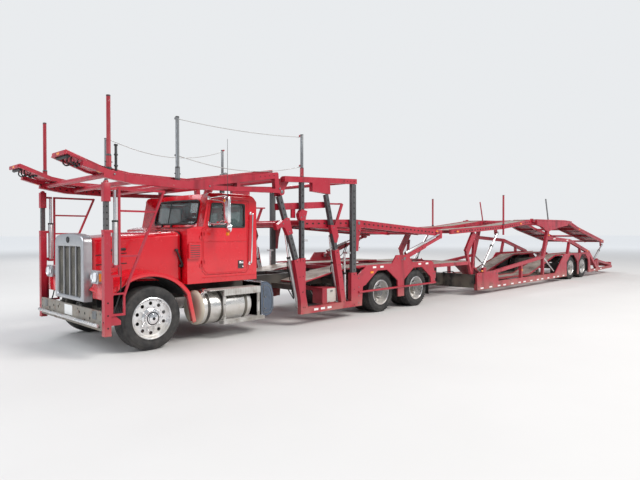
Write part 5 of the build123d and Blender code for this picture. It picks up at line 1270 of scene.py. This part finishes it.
eased("head_rack", shaded_rack_paint, 0.006)
eased("rack_tracks", shaded_rack_paint, 0.003, tracks=(0.755, 1.188))
RACK_BEAM = [(-0.740, 2.500), (-0.330, 2.435), (0.560, 2.415)]
RACK_TRACK = [(-1.195, 2.738), (-0.740, 2.570), (-0.330, 2.505), (0.560, 2.487), (2.255, 2.765)]
for bench in BENCHES:
    for start, end in steps_along(RACK_BEAM):
        bench.dots(start, end, 0.105, 0.013, INNER_FACE)
    bench.slots((0.62, 2.445), (2.20, 2.688), 0.125, 0.045, 0.022, INNER_FACE)
    bench.dots((1.90, 2.645), (2.20, 2.690), 0.090, 0.009, OUTER_FACE)
    for k in range(4):
        y = 0.815 + 0.105 * k
        bench.beam((-1.165, y, 2.7405), (-1.075, y, 2.7074), 0.026, 0.004, 0.0)
    for k in range(9):
        x = 0.70 + 0.165 * k
        z = 2.487 + (x - 0.56) * 0.164 + 0.0128
        for y in (0.82, 1.12):
            bench.beam((x - 0.03, y, z - 0.005), (x + 0.03, y, z + 0.005), 0.030, 0.003, 0.0)
    # Holes and slots in the rack are near-black marks: painted shade inside them
    bench.piece("rack_holes_*", painted_shade_black, "rack", "plastic")
    for k in range(4):
        y = 0.815 + 0.105 * k
        bench.tube(bent([at(-1.172, y - 0.019, 2.7465), at(-1.068, y - 0.019, 2.708),
                         at(-1.068, y + 0.019, 2.708), at(-1.172, y + 0.019, 2.7465)], 0.015, 3, True),
                   0.0045, 6, True)
    # Edge angles of the wheel plate, following its bends
    for y in (0.760, 1.186):
        bench.edging(RACK_TRACK, y, 0.020, 0.010, 0.030)
    for station, z in ((-0.20, 2.440), (0.560, 2.430), (1.450, 2.500)):
        bench.pin(station, z, 1.10, 1.19, 0.048, sides=24, edge=0.004)
    bench.piece("rack_angles_*", shaded_rack_paint, "rack", "frame_red")
    bench.rod((-0.770, POST_MIDDLE, 2.530), (-0.812, POST_MIDDLE, 2.545), 0.034, sides=24, edge=0.006)
    bench.block((-1.2105, 0.92, 2.718), (-1.2035, 1.02, 2.748), 0.003)
    bench.piece("rack_lamps_*", amber, "rack", "lamp")
    for x, z in ((-0.60, 2.490), (0.90, 2.424), (2.330, 2.470), (2.380, 2.420)):
        bench.bolt(x, 1.294, z, 0.018 if x > 2.3 else 0.013, 0.012)
    bench.pin(2.380, 2.420, 1.180, 1.302, 0.031, sides=28, edge=0.003)
    # Ratchet bars for the chains, with their spools
    for x, z in ((0.10, 2.350), (1.60, 2.610)):
        bench.pin(x, z + 0.10, 0.735, 0.690, 0.030, sides=20, edge=0.003)
        bench.pin(x, z + 0.10, 0.690, 0.560, 0.014, sides=14)
    bench.piece("rack_pins_*", pole_zinc, "rack", "steel")
    # Rollers and chain hooks under the rack's nose
    bench.pin(-1.150, 2.692, 0.790, 1.165, 0.026, sides=20, edge=0.003)
    for y in (0.83, 0.97, 1.11):
        hook = [at(-1.090, y, 2.690), at(-1.100, y, 2.630), at(-1.060, y, 2.600), at(-1.010, y, 2.620),
                at(-1.010, y, 2.650)]
        bench.tube(bent(hook, 0.020), 0.010, 8)
        bench.pin(-0.930, 2.615, y - 0.03, y + 0.03, 0.022, sides=18, edge=0.003)
    bench.piece("rack_hooks_*", frame_black, "rack", "frame_black")

pole_red = painted("pole_red", (0.30, 0.008, 0.020), (0.40, 0.06, 0.07), 0.5, 1.1, 0.5, 0.5, 0.5)
eased("rack_poles", pole_red, 0.002, lambda c: c.x < -0.40 + FRONT_AXLE)
eased("rack_poles", pole_zinc, 0.002, lambda c: c.x >= -0.40 + FRONT_AXLE, name="rack_poles_grey")
for side in (-1, 1):
    for x, low, high in ((-0.660, 2.5546, 3.550), (0.370, 2.4779, 3.425)):
        y = side * POST_MIDDLE
        whole.post(x, y, high - 0.020, high + 0.0002, 0.030, 0.027, 22, 0.003)
        whole.post(x, y, low + 0.178, low + 0.205, 0.038, 0.030, 24, 0.003)
        whole.post(x, y, low + 0.001, low + 0.030, 0.042, sides=24, edge=0.003)
        whole.rod((x - 0.05, y, low + 0.10), (x + 0.05, y, low + 0.10), 0.008, sides=12)
    # Short dark pole with collars beside the near front pole
    if side < 0:
        whole.post(-0.560, y, 2.535, 2.905, 0.018, sides=20, edge=0.003)
        for z in (2.60, 2.75, 2.88):
            whole.post(-0.560, y, z, z + 0.022, 0.026, sides=20, edge=0.003)
whole.piece("pole_caps", trim_plastic, "rack", "plastic")

LINES = {
    "line_left_upper": (-1, [
        (0.3846, 3.4000), (0.579, 3.3921), (0.744, 3.3858), (0.909, 3.3811),
        (1.074, 3.3780), (1.239, 3.3765), (1.404, 3.3766), (1.569, 3.3783),
        (1.734, 3.3816), (1.899, 3.3865), (2.064, 3.3930), (2.229, 3.4011),
        (2.394, 3.4108), (2.559, 3.4221), (2.724, 3.4350), (2.899, 3.4507)]),
    "line_left_lower": (-1, [
        (0.3856, 2.8550), (0.579, 2.8209), (0.744, 2.7922), (0.909, 2.7688),
        (1.074, 2.7508), (1.239, 2.7381), (1.404, 2.7307), (1.569, 2.7287),
        (1.734, 2.7320), (1.899, 2.7406), (2.064, 2.7546), (2.229, 2.7739),
        (2.394, 2.7985), (2.559, 2.8285), (2.724, 2.8638), (2.899, 2.9083)]),
    "line_right_upper": (1, [
        (0.3865, 3.4000), (0.579, 3.3473), (0.744, 3.3027), (0.909, 3.2660),
        (1.074, 3.2373), (1.239, 3.2166), (1.404, 3.2039), (1.569, 3.1992),
        (1.734, 3.2025), (1.899, 3.2138), (2.064, 3.2331), (2.229, 3.2604),
        (2.394, 3.2957), (2.559, 3.3390), (2.724, 3.3902), (2.899, 3.4552)]),
}
LINE_SIDE = POST_MIDDLE - 0.027 - 0.022
LINE_RADIUS = 0.006
for name, (side, route) in LINES.items():
    curve = bpy.data.curves.new(name + "_route", "CURVE")
    curve.dimensions = "3D"
    curve.resolution_u = 4
    spline = curve.splines.new("NURBS")
    spline.points.add(len(route) - 1)
    for knot, (x, z) in zip(spline.points, route):
        knot.co = (*at(x, side * LINE_SIDE, z), 1)
    spline.order_u = 3
    spline.use_endpoint_u = True
    guide = bpy.data.objects.new(name + "_route", curve)
    traced = bpy.data.meshes.new_from_object(guide)
    path = [v.co.copy() for v in traced.vertices]
    bpy.data.objects.remove(guide)
    bpy.data.meshes.remove(traced)
    whole.tube(path, LINE_RADIUS, 12)
    cable = whole.shape(name + "_cable", cable_white)
    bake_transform(cable)
    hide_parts(name)
    length = sum((b - a).length for a, b in zip(path, path[1:]))

# Front posts and the sliding posts in them

FRONT_POST, FRONT_JACK = -0.700, -0.580
eased("front_posts", shaded_rack_paint, 0.005)
eased("sliding_posts", tube_grey, 0.003)
for bench in BENCHES:
    bench.dots((FRONT_POST, 0.42), (FRONT_POST, 0.76), 0.150, 0.012, OUTER_FACE)
    for z in (0.50, 1.66):
        bench.rod((-0.7405, POST_MIDDLE, z), (-0.7462, POST_MIDDLE, z), 0.012, sides=16)
    # Holes in the front posts are near-black discs: painted shade inside them
    bench.piece("front_post_holes_*", painted_shade_black, "tractor", "plastic")
    bench.block((-0.7485, INNER_FACE - 0.003, 1.700), (-0.6515, OUTER_FACE + 0.003, 1.7405), 0.004)
    bench.block((-0.7485, INNER_FACE - 0.003, 0.309), (-0.6515, OUTER_FACE + 0.003, 0.345), 0.004)
    bench.post(FRONT_JACK, POST_MIDDLE, 1.230, 1.262, 0.046, sides=24, edge=0.003)
    bench.prism([(-0.655, 0.44), (-0.655, 0.64), (-0.50, 0.50), (-0.50, 0.44)], 1.215, 1.245, 0.003)
    bench.piece("front_post_collars_*", shaded_rack_paint, "tractor", "frame_red")
    bench.post(FRONT_JACK, POST_MIDDLE, 1.262, 1.858, 0.0368, sides=28, edge=0.003)
    bench.piece("front_barrel_skin_*", barrel_paint, "tractor", "steel")
    bench.post(FRONT_JACK, POST_MIDDLE, 1.845, 1.8715, 0.040, sides=24, edge=0.003)
    hose = [at(-0.548, POST_MIDDLE, 1.30), at(-0.500, POST_MIDDLE, 1.27), at(-0.500, 1.245, 0.90),
            at(-0.560, 1.200, 0.66), at(-0.620, 1.160, 0.535)]
    bench.tube(bent(hose, 0.08), 0.010, 8)
    bench.piece("front_gland_*", black_rubber, "tractor", "plastic")
    for k in range(4):
        z = 1.800 + 0.085 * k
        bench.rod((-0.7295, POST_MIDDLE, z), (-0.7318, POST_MIDDLE, z), 0.011, sides=16)
        bench.pin(FRONT_POST, z, 1.2795, 1.2812, 0.011, sides=16)
    # Holes in the sliding posts are near-black discs: painted shade inside them
    bench.piece("sliding_holes_*", painted_shade_black, "sliding_posts", "plastic")
    bench.block((-0.7462, INNER_FACE - 0.0008, 2.119), (-0.6538, OUTER_FACE + 0.0008, 2.3755), 0.005)
    bench.block((-0.664, POST_MIDDLE - 0.021, 2.279), (-0.558, POST_MIDDLE + 0.021, 2.311), 0.003)
    bench.pin(FRONT_POST, 2.375, POST_MIDDLE - 0.027, POST_MIDDLE + 0.027, 0.030, sides=24, edge=0.003)
    bench.piece("sliding_heads_*", shaded_rack_paint, "sliding_posts", "frame_red")
    bench.post(FRONT_JACK, POST_MIDDLE, 1.330, 2.300, 0.0204, sides=24)
    bench.piece("front_rod_*", rod_chrome, "sliding_posts", "chrome")

# Side frames, posts and the rails over them

eased("side_frames", shaded_rack_paint, 0.006)
eased("inner_posts", tube_grey, 0.004)
eased("top_rails", shaded_rack_paint, 0.005)
eased("post_cylinders", barrel_paint, 0.003)
INNER_POSTS = [(2.345, 2.340, 2.738, 1.226), (2.890, 2.617, 2.890, 1.240), (3.5225, 2.430, 3.788, 1.380),
               (4.310, 2.678, 4.310, 0.900)]
SLEEVES = [(2.740, 1.180, 2.935, 0.340), (2.890, 1.190, 2.890, 0.340), (3.800, 1.320, 3.990, 0.340),
           (4.300, 0.860, 4.300, 0.260)]
MAST = 2.900
POST_JACKS = [((2.890, 0.330), (2.650, 1.260), (2.570, 1.700)),
              ((3.020, 0.350), (3.020, 1.000), (3.020, 1.560)),
              ((3.960, 0.380), (3.800, 1.130), (3.722, 1.640)),
              ((4.160, 0.340), (4.160, 0.900), (4.160, 1.300))]
for bench in BENCHES:
    for x1, z1, x2, z2 in INNER_POSTS:
        bench.slots((x1 + (x2 - x1) * 0.05, z1 + (z2 - z1) * 0.05), (x2, z2), 0.115, 0.030, 0.022, 1.2855)
    # Slots in the inner posts are near-black strips: painted shade inside them
    bench.piece("inner_post_slots_*", painted_shade_black, "tractor", "plastic")
    for x1, z1, x2, z2 in SLEEVES:
        bench.dots((x1, z1), (x2, z2), 0.270, 0.010, OUTER_FACE)
    bench.dots((4.00, 2.718), (4.30, 2.731), 0.100, 0.010, OUTER_FACE)
    # Holes in the side frames are near-black discs: painted shade inside them
    bench.piece("side_frame_holes_*", painted_shade_black, "tractor", "plastic")
    for foot, head, tip in POST_JACKS:
        bench.rod((head[0], JACK_SIDE, head[1]), (tip[0], JACK_SIDE, tip[1]), 0.0206, sides=22)
    bench.piece("post_rods_*", rod_chrome, "tractor", "chrome")
    for foot, head, tip in POST_JACKS:
        ux, uz = head[0] - foot[0], head[1] - foot[1]
        length = math.hypot(ux, uz)
        ux, uz = ux / length, uz / length
        bench.rod((head[0] - ux * 0.030, JACK_SIDE, head[1] - uz * 0.030),
                  (head[0] + ux * 0.006, JACK_SIDE, head[1] + uz * 0.006), 0.037, sides=24, edge=0.003)
        hose = [at(head[0] - ux * 0.08, 1.128, head[1] - uz * 0.08),
                at(head[0] - ux * 0.10, 1.085, head[1] - uz * 0.12),
                at(foot[0] + ux * 0.30, 1.085, foot[1] + uz * 0.26), at(foot[0], 1.050, foot[1] + 0.12),
                at(foot[0] + 0.05, 0.80, 0.66)]
        bench.tube(bent(hose, 0.09), 0.009, 8)
    bench.piece("post_hoses_*", black_rubber, "tractor", "plastic")
    for x, z in ((4.44, 0.78), (4.44, 0.60), (4.44, 0.42), (4.44, 0.28), (5.92, 1.10), (5.78, 1.14),
                 (6.06, 1.14), (4.46, 1.40), (4.46, 1.55), (4.46, 1.75), (7.21, 0.72), (7.21, 0.88),
                 (7.23, 0.57)):
        bench.bolt(x, BOLT_FACE, z, 0.014, 0.009)
    for x, z in ((2.41, 1.86), (2.56, 1.72), (2.50, 1.93), (2.93, 2.00), (2.85, 1.98), (3.70, 1.80),
                 (3.80, 1.58)):
        bench.bolt(x, 1.2915, z, 0.012, 0.008)
    bench.pin(4.460, 1.900, 1.080, 1.296, 0.032, sides=26, edge=0.003)
    bench.pin(6.020, 1.120, 1.19, 1.300, 0.034, sides=26, edge=0.003)
    for (x, z), head, tip in POST_JACKS:
        bench.pin(x, z, 1.115, 1.205, 0.026, sides=20, edge=0.003)
    bench.piece("frame_bolts_*", pole_zinc, "tractor", "steel")
    bench.block((4.810, BOLT_FACE, 0.852), (4.910, 1.307, 0.898), 0.010)
    bench.piece("frame_lamps_*", amber, "tractor", "lamp")
    # White reflector patches on the sill and over the wheels
    for x, z in ((3.22, 0.275), (3.40, 0.275), (3.58, 0.275), (4.95, 0.978), (5.20, 0.978), (6.62, 0.978),
                 (6.92, 0.978)):
        bench.block((x - 0.055, PATCH_BACK, z - 0.020), (x + 0.055, PATCH_FRONT, z + 0.020), 0.0)
    bench.piece("frame_patches_*", blank_plate, "tractor", "plastic")
    bench.post(MAST, POST_MIDDLE, 2.879, 3.490, 0.0274, sides=24, edge=0.003)
    bench.piece("mast_pole_*", pole_zinc, "tractor", "steel")
    bench.post(MAST, POST_MIDDLE, 3.478, 3.4905, 0.031, sides=22, edge=0.002)
    bench.post(MAST, POST_MIDDLE, 2.868, 2.892, 0.037, 0.029, 24, 0.003)
    bench.post(MAST, POST_MIDDLE, 2.700, 2.730, 0.040, sides=24, edge=0.003)
    bench.piece("mast_caps_*", trim_plastic, "tractor", "plastic")

# Rear deck, lift arms and the lower tracks of the tractor

eased("rear_deck", shaded_rack_paint, 0.005, tracks=(0.485, 1.115))
eased("lower_tracks", shaded_rack_paint, 0.004, tracks=(0.485, 1.105))
eased("lift_arms", shaded_rack_paint, 0.004)
eased("lift_sliders", shaded_rack_paint, 0.003)
DECK = [(2.950, 1.870), (4.460, 1.900), (7.760, 1.690)]
FOOT, EYE = (6.020, 1.120), (7.600, 1.600)
reach = math.dist(FOOT, EYE)
AX, AZ = (EYE[0] - FOOT[0]) / reach, (EYE[1] - FOOT[1]) / reach


def on_arm(distance, rise):
    """Station and height of a point at a distance from the arm's foot and a rise above its middle."""
    return FOOT[0] + AX * distance - AZ * rise, FOOT[1] + AZ * distance + AX * rise


for bench in BENCHES:
    for start, end in steps_along(DECK):
        bench.slots((start[0] + 0.06, start[1]), (end[0] - 0.06, end[1]), 0.150, 0.050, 0.028, DECK_FACE)
    # Slots in the deck beams are near-black strips: painted shade inside them
    bench.piece("deck_slots_*", painted_shade_black, "rear_deck", "plastic")
    bench.edging(DECK, 1.121, 0.046, 0.008, 0.045)
    bench.edging(DECK, 0.480, 0.056, 0.010, 0.040)
    bench.piece("deck_angles_*", shaded_rack_paint, "rear_deck", "frame_red")
    for x in (3.30, 3.95, 4.85, 5.60, 6.35, 7.10):
        z = 1.870 + (x - 2.95) * 0.0199 if x < 4.46 else 1.900 - (x - 4.46) * 0.0636
        bench.ratchet(x, z - 0.03, 0.560)
    bench.pin(*EYE, 1.196, 1.199, 0.030, sides=24)
    bench.piece("deck_ratchets_*", pole_zinc, "rear_deck", "steel")
    bench.block((7.480, 1.1895, 1.722), (7.560, 1.203, 1.756), 0.006)
    bench.piece("deck_lamps_*", amber, "rear_deck", "lamp")
    x1, z1 = on_arm(0.140, 0.080)
    x2, z2 = on_arm(0.900, 0.080)
    bench.rod((x1, 1.232, z1), (x2, 1.232, z2), 0.0346, sides=26, edge=0.003)
    bench.piece("arm_barrel_*", barrel_paint, "lift_arms", "steel")
    x1, z1 = on_arm(0.300, 0.080)
    x2, z2 = on_arm(reach - 0.04, 0.080)
    bench.rod((x1, 1.232, z1), (x2, 1.232, z2), 0.0204, sides=22)
    bench.piece("arm_rod_*", rod_chrome, "lift_sliders", "chrome")
    for distance in (0.52, 0.66, 0.80):
        x, z = on_arm(distance, 0.0)
        bench.pin(x, z, 1.258, 1.2635, 0.012, sides=16)
    # Holes in the lift arms are near-black discs: painted shade inside them
    bench.piece("arm_holes_*", painted_shade_black, "lift_arms", "plastic")
    # Hoses that sag from the barrel to the foot of the arm
    for low, gap in ((0.20, 0.0), (0.29, 0.03)):
        x1, z1 = on_arm(0.86, 0.03)
        x2, z2 = on_arm(0.62, -low)
        x3, z3 = on_arm(0.26, -low)
        x4, z4 = on_arm(0.10, 0.02)
        inner = 1.195 - gap
        hose = [at(x1, 1.225, z1 + 0.02), at(x1, inner, z1 - 0.02), at(x2, inner, z2), at(x3, inner, z3),
                at(x4, 1.16, z4)]
        bench.tube(bent(hose, 0.12, 6), 0.010, 8)
    bench.piece("arm_hoses_*", black_rubber, "lift_arms", "plastic")

# Trailer: chassis, side frames and wheel plates


def on_leg(c):
    """Whether a place is on one of the legs under the front platform."""
    return abs(c.y) > 0.985 and c.z > 0.575 and c.x < 9.75 + FRONT_AXLE


eased("trailer_chassis", frame_black, 0.005, lambda c: not on_leg(c))
eased("trailer_chassis", shaded_trailer_paint, 0.005, on_leg, name="deck_legs")
eased("front_platform", shaded_trailer_paint, 0.004, tracks=(0.485, 1.125))
eased("trailer_sides", shaded_trailer_paint, 0.006)
eased("trailer_tracks", shaded_trailer_paint, 0.003, tracks=(0.485, 1.030))
eased("trailer_axles", frame_black, 0.004)
eased("front_deck", shaded_trailer_paint, 0.004, lambda c: c.z < 2.15, tracks=(0.475, 1.115))
eased("front_deck", pole_red, 0.002, lambda c: c.z >= 2.15, name="front_deck_poles")
eased("middle_deck", shaded_trailer_paint, 0.005, lambda c: c.z < 2.25 or c.y > 0,
      tracks=(0.485, 1.160))
eased("middle_deck", pole_zinc, 0.002, lambda c: c.z >= 2.25 and c.y < 0, name="middle_deck_pole")
eased("tail_deck", shaded_trailer_paint, 0.004, tracks=(0.475, 1.115))
eased("tail_ramp", shaded_trailer_paint, 0.004, tracks=(0.485, 1.125))
BELLY = [(9.330, 0.930), (10.350, 0.330), (13.300, 0.330), (15.500, 0.880), (18.550, 0.900)]
DECKS = {
    "front_deck": [(8.200, 1.720), (11.090, 1.865), (13.100, 2.060)],
    "tail_deck": [(16.600, 2.056), (17.360, 1.860), (20.380, 1.330)],
}
MARKERS = {
    "trailer": [(9.62, 0.66), (12.16, 0.56), (14.25, 1.62), (18.05, 1.000)],
    "front_deck": [(8.50, 1.735), (12.30, 1.983)],
    "tail_deck": [(17.50, 1.838), (20.10, 1.378)],
}
ARCH = [(-0.576, 0.330), (-0.576, 0.650), (-0.205, 0.906), (0.130, 0.906), (0.500, 0.656), (0.518, 0.330)]
FACES = {"trailer": OUTER_FACE, "front_deck": DECK_FACE, "tail_deck": DECK_FACE}
for bench in BENCHES:
    bench.dots((9.60, 0.285), (15.60, 0.285), 0.600, 0.012, OUTER_FACE)
    bench.dots((14.35, 1.528), (16.15, 1.416), 0.120, 0.014, OUTER_FACE)
    bench.dots((16.40, 1.375), (18.15, 0.978), 0.120, 0.014, OUTER_FACE)
    bench.dots((13.88, 1.02), (14.16, 1.66), 0.105, 0.012, OUTER_FACE)
    bench.dots((13.45, 2.090), (15.80, 2.100), 0.120, 0.013, OUTER_FACE)
    # Holes in the trailer frames are near-black discs: painted shade inside them
    bench.piece("trailer_holes_*", painted_shade_black, "trailer", "plastic")
    # White reflector patches along the belly rail and the upper beams
    for k in range(14):
        x = 9.62 + 0.455 * k + 0.05 * (k % 3)
        bench.block((x - 0.085, PATCH_BACK, 0.168), (x + 0.085, PATCH_FRONT, 0.208), 0.0)
    for x, z in ((14.75, 1.502), (15.95, 1.430), (18.90, 0.235), (19.70, 0.245)):
        bench.block((x - 0.09, PATCH_BACK, z - 0.020), (x + 0.09, PATCH_FRONT, z + 0.020), 0.0)
    bench.piece("trailer_patches_*", blank_plate, "trailer", "plastic")
    # Strut from the knee of the side frame to the wheel plate
    bench.rod((13.940, 1.245, 0.870), (14.340, 1.245, 0.645), 0.030, sides=22, edge=0.003)
    bench.rod((14.340, 1.245, 0.645), (14.790, 1.245, 0.392), 0.020, sides=18)
    bench.piece("trailer_strut_*", rod_chrome, "trailer", "chrome")
    for x, z in ((9.44, 0.54), (9.44, 0.22), (10.50, 0.24), (10.46, 0.55), (12.16, 0.72), (13.83, 0.84),
                 (14.24, 1.56), (14.22, 1.72), (16.25, 1.41), (15.10, 0.66), (18.24, 0.93), (18.30, 0.40),
                 (16.22, 1.36), (13.36, 2.03), (13.36, 2.11), (15.90, 2.03), (15.90, 2.11), (14.60, 1.93),
                 (14.30, 1.83)):
        bench.bolt(x, BOLT_FACE, z, 0.015, 0.010)
    for x, z, y in ((9.820, 0.690, 1.256), (19.120, 0.560, 1.256), (19.450, 0.600, 1.252),
                    (13.200, 2.100, 1.246), (16.400, 2.080, 1.246)):
        bench.pin(x, z, y - 0.02, y + 0.008, 0.030, sides=24, edge=0.003)
    bench.piece("trailer_bolts_*", pole_zinc, "trailer", "steel")
    # Wheel plates: folded rims above the tyres, and mud flaps behind
    for station in TRAILER_AXLES:
        bench.edging([(station + x, z) for x, z in ARCH], 1.289, 0.0, 0.020, 0.012, 0.003)
    bench.piece("wheel_rims_*", shaded_trailer_paint, "trailer", "frame_red")
    for x in (15.66, 18.50):
        bench.block((x, 0.80, 0.19), (x + 0.010, 1.27, 0.62), 0.003)
    hose = [at(9.05, 0.42, 0.61), at(9.50, 0.47, 0.62), at(9.95, 0.47, 0.36), at(10.6, 0.47, 0.29),
            at(15.2, 0.47, 0.29), at(15.7, 0.47, 0.58), at(16.2, 0.45, 0.62)]
    bench.tube(bent(hose, 0.12), 0.013, 8)
    bench.piece("trailer_rubber_*", black_rubber, "trailer", "plastic")
    for body, rows in MARKERS.items():
        for x, z in rows:
            bench.block((x - 0.045, FACES[body] - 0.002, z - 0.020),
                        (x + 0.045, FACES[body] + 0.013, z + 0.020), 0.006)
        bench.piece(f"{body}_markers_*", amber, body, "lamp")
    for y in (1.030, 0.486):
        bench.edging(BELLY, y, 0.022, 0.009, 0.042)
    bench.piece("belly_angles_*", shaded_trailer_paint, "trailer", "frame_red")
    for body, path in DECKS.items():
        for start, end in steps_along(path):
            trim = 0.1 / math.dist(start, end)
            bench.slots(between_ends(start, end, trim), between_ends(start, end, 1 - trim), 0.150, 0.050,
                        0.028, DECK_FACE)
        # Slots in the deck beams are near-black strips: painted shade inside them
        bench.piece(f"{body}_slots_*", painted_shade_black, body, "plastic")
        for start, end in steps_along(path):
            run = math.dist(start, end)
            for k in range(int(run / 0.75)):
                x, z = between_ends(start, end, (0.35 + 0.75 * k) / run)
                bench.ratchet(x, z - 0.035, 0.520)
        bench.piece(f"{body}_ratchets_*", pole_zinc, body, "steel")
        bench.edging(path, 1.119, 0.047, 0.008, 0.040)
        bench.edging(path, 0.478, 0.047, 0.010, 0.036)
        bench.piece(f"{body}_angles_*", shaded_trailer_paint, body, "frame_red")
    # Collars and caps of the stake poles
    bench.post(11.080, 1.205, 1.930, 1.965, 0.036, 0.030, 22, 0.003)
    bench.post(11.080, 1.205, 2.798, 2.8102, 0.031, sides=22, edge=0.002)
    bench.piece("front_pole_caps_*", trim_plastic, "front_deck", "plastic")
    # Latch plate and lamps at the ramp end
    for y in (0.62, 0.80, 0.98):
        bench.block((21.439, y - 0.075, 0.300), (21.4445, y + 0.075, 0.400), 0.008)
    bench.piece("ramp_lamps_*", red_lens, "tail_ramp", "lamp")
    for k in range(11):
        x = 19.62 + 0.150 * k
        z = 0.600 - (x - 19.450) * 0.1364 + 0.036
        for y in (0.58, 0.80, 1.02):
            bench.beam((x - 0.05, y, z + 0.0068), (x + 0.05, y, z - 0.0068), 0.014, 0.007, 0.0)
    bench.post(21.395, 1.10, 0.440, 0.446, 0.020, sides=6, edge=0.002)
    bench.post(21.395, 0.56, 0.440, 0.446, 0.020, sides=6, edge=0.002)
    bench.piece("ramp_cleats_*", shaded_trailer_paint, "tail_ramp", "frame_red")

# Cylinders that raise the trailer decks

for name, foot, eye, length in (("front", (9.820, 0.690), (10.780, 1.690), 0.900),
                                ("rear", (19.120, 0.560), (20.230, 1.190), 0.850)):
    eased(f"{name}_barrels", barrel_paint, 0.004)
    eased(f"{name}_rams", rod_chrome, 0.003)
    run = math.dist(foot, eye)
    ux, uz = (eye[0] - foot[0]) / run, (eye[1] - foot[1]) / run
    for bench in BENCHES:
        for near, far, wide in ((length - 0.050, length + 0.004, 0.047), (0.115, 0.150, 0.046)):
            bench.rod((foot[0] + ux * near, JACK_SIDE, foot[1] + uz * near),
                      (foot[0] + ux * far, JACK_SIDE, foot[1] + uz * far), wide, sides=28, edge=0.004)
        for step in (0.20, length - 0.09):
            x, z = foot[0] + ux * step - uz * 0.038, foot[1] + uz * step + ux * 0.038
            bench.rod((x, JACK_SIDE, z), (x - uz * 0.030, JACK_SIDE, z + ux * 0.030), 0.013,
                      sides=6, edge=0.002)
        bench.piece(f"{name}_gland_*", frame_black, f"{name}_barrels", "frame_black")
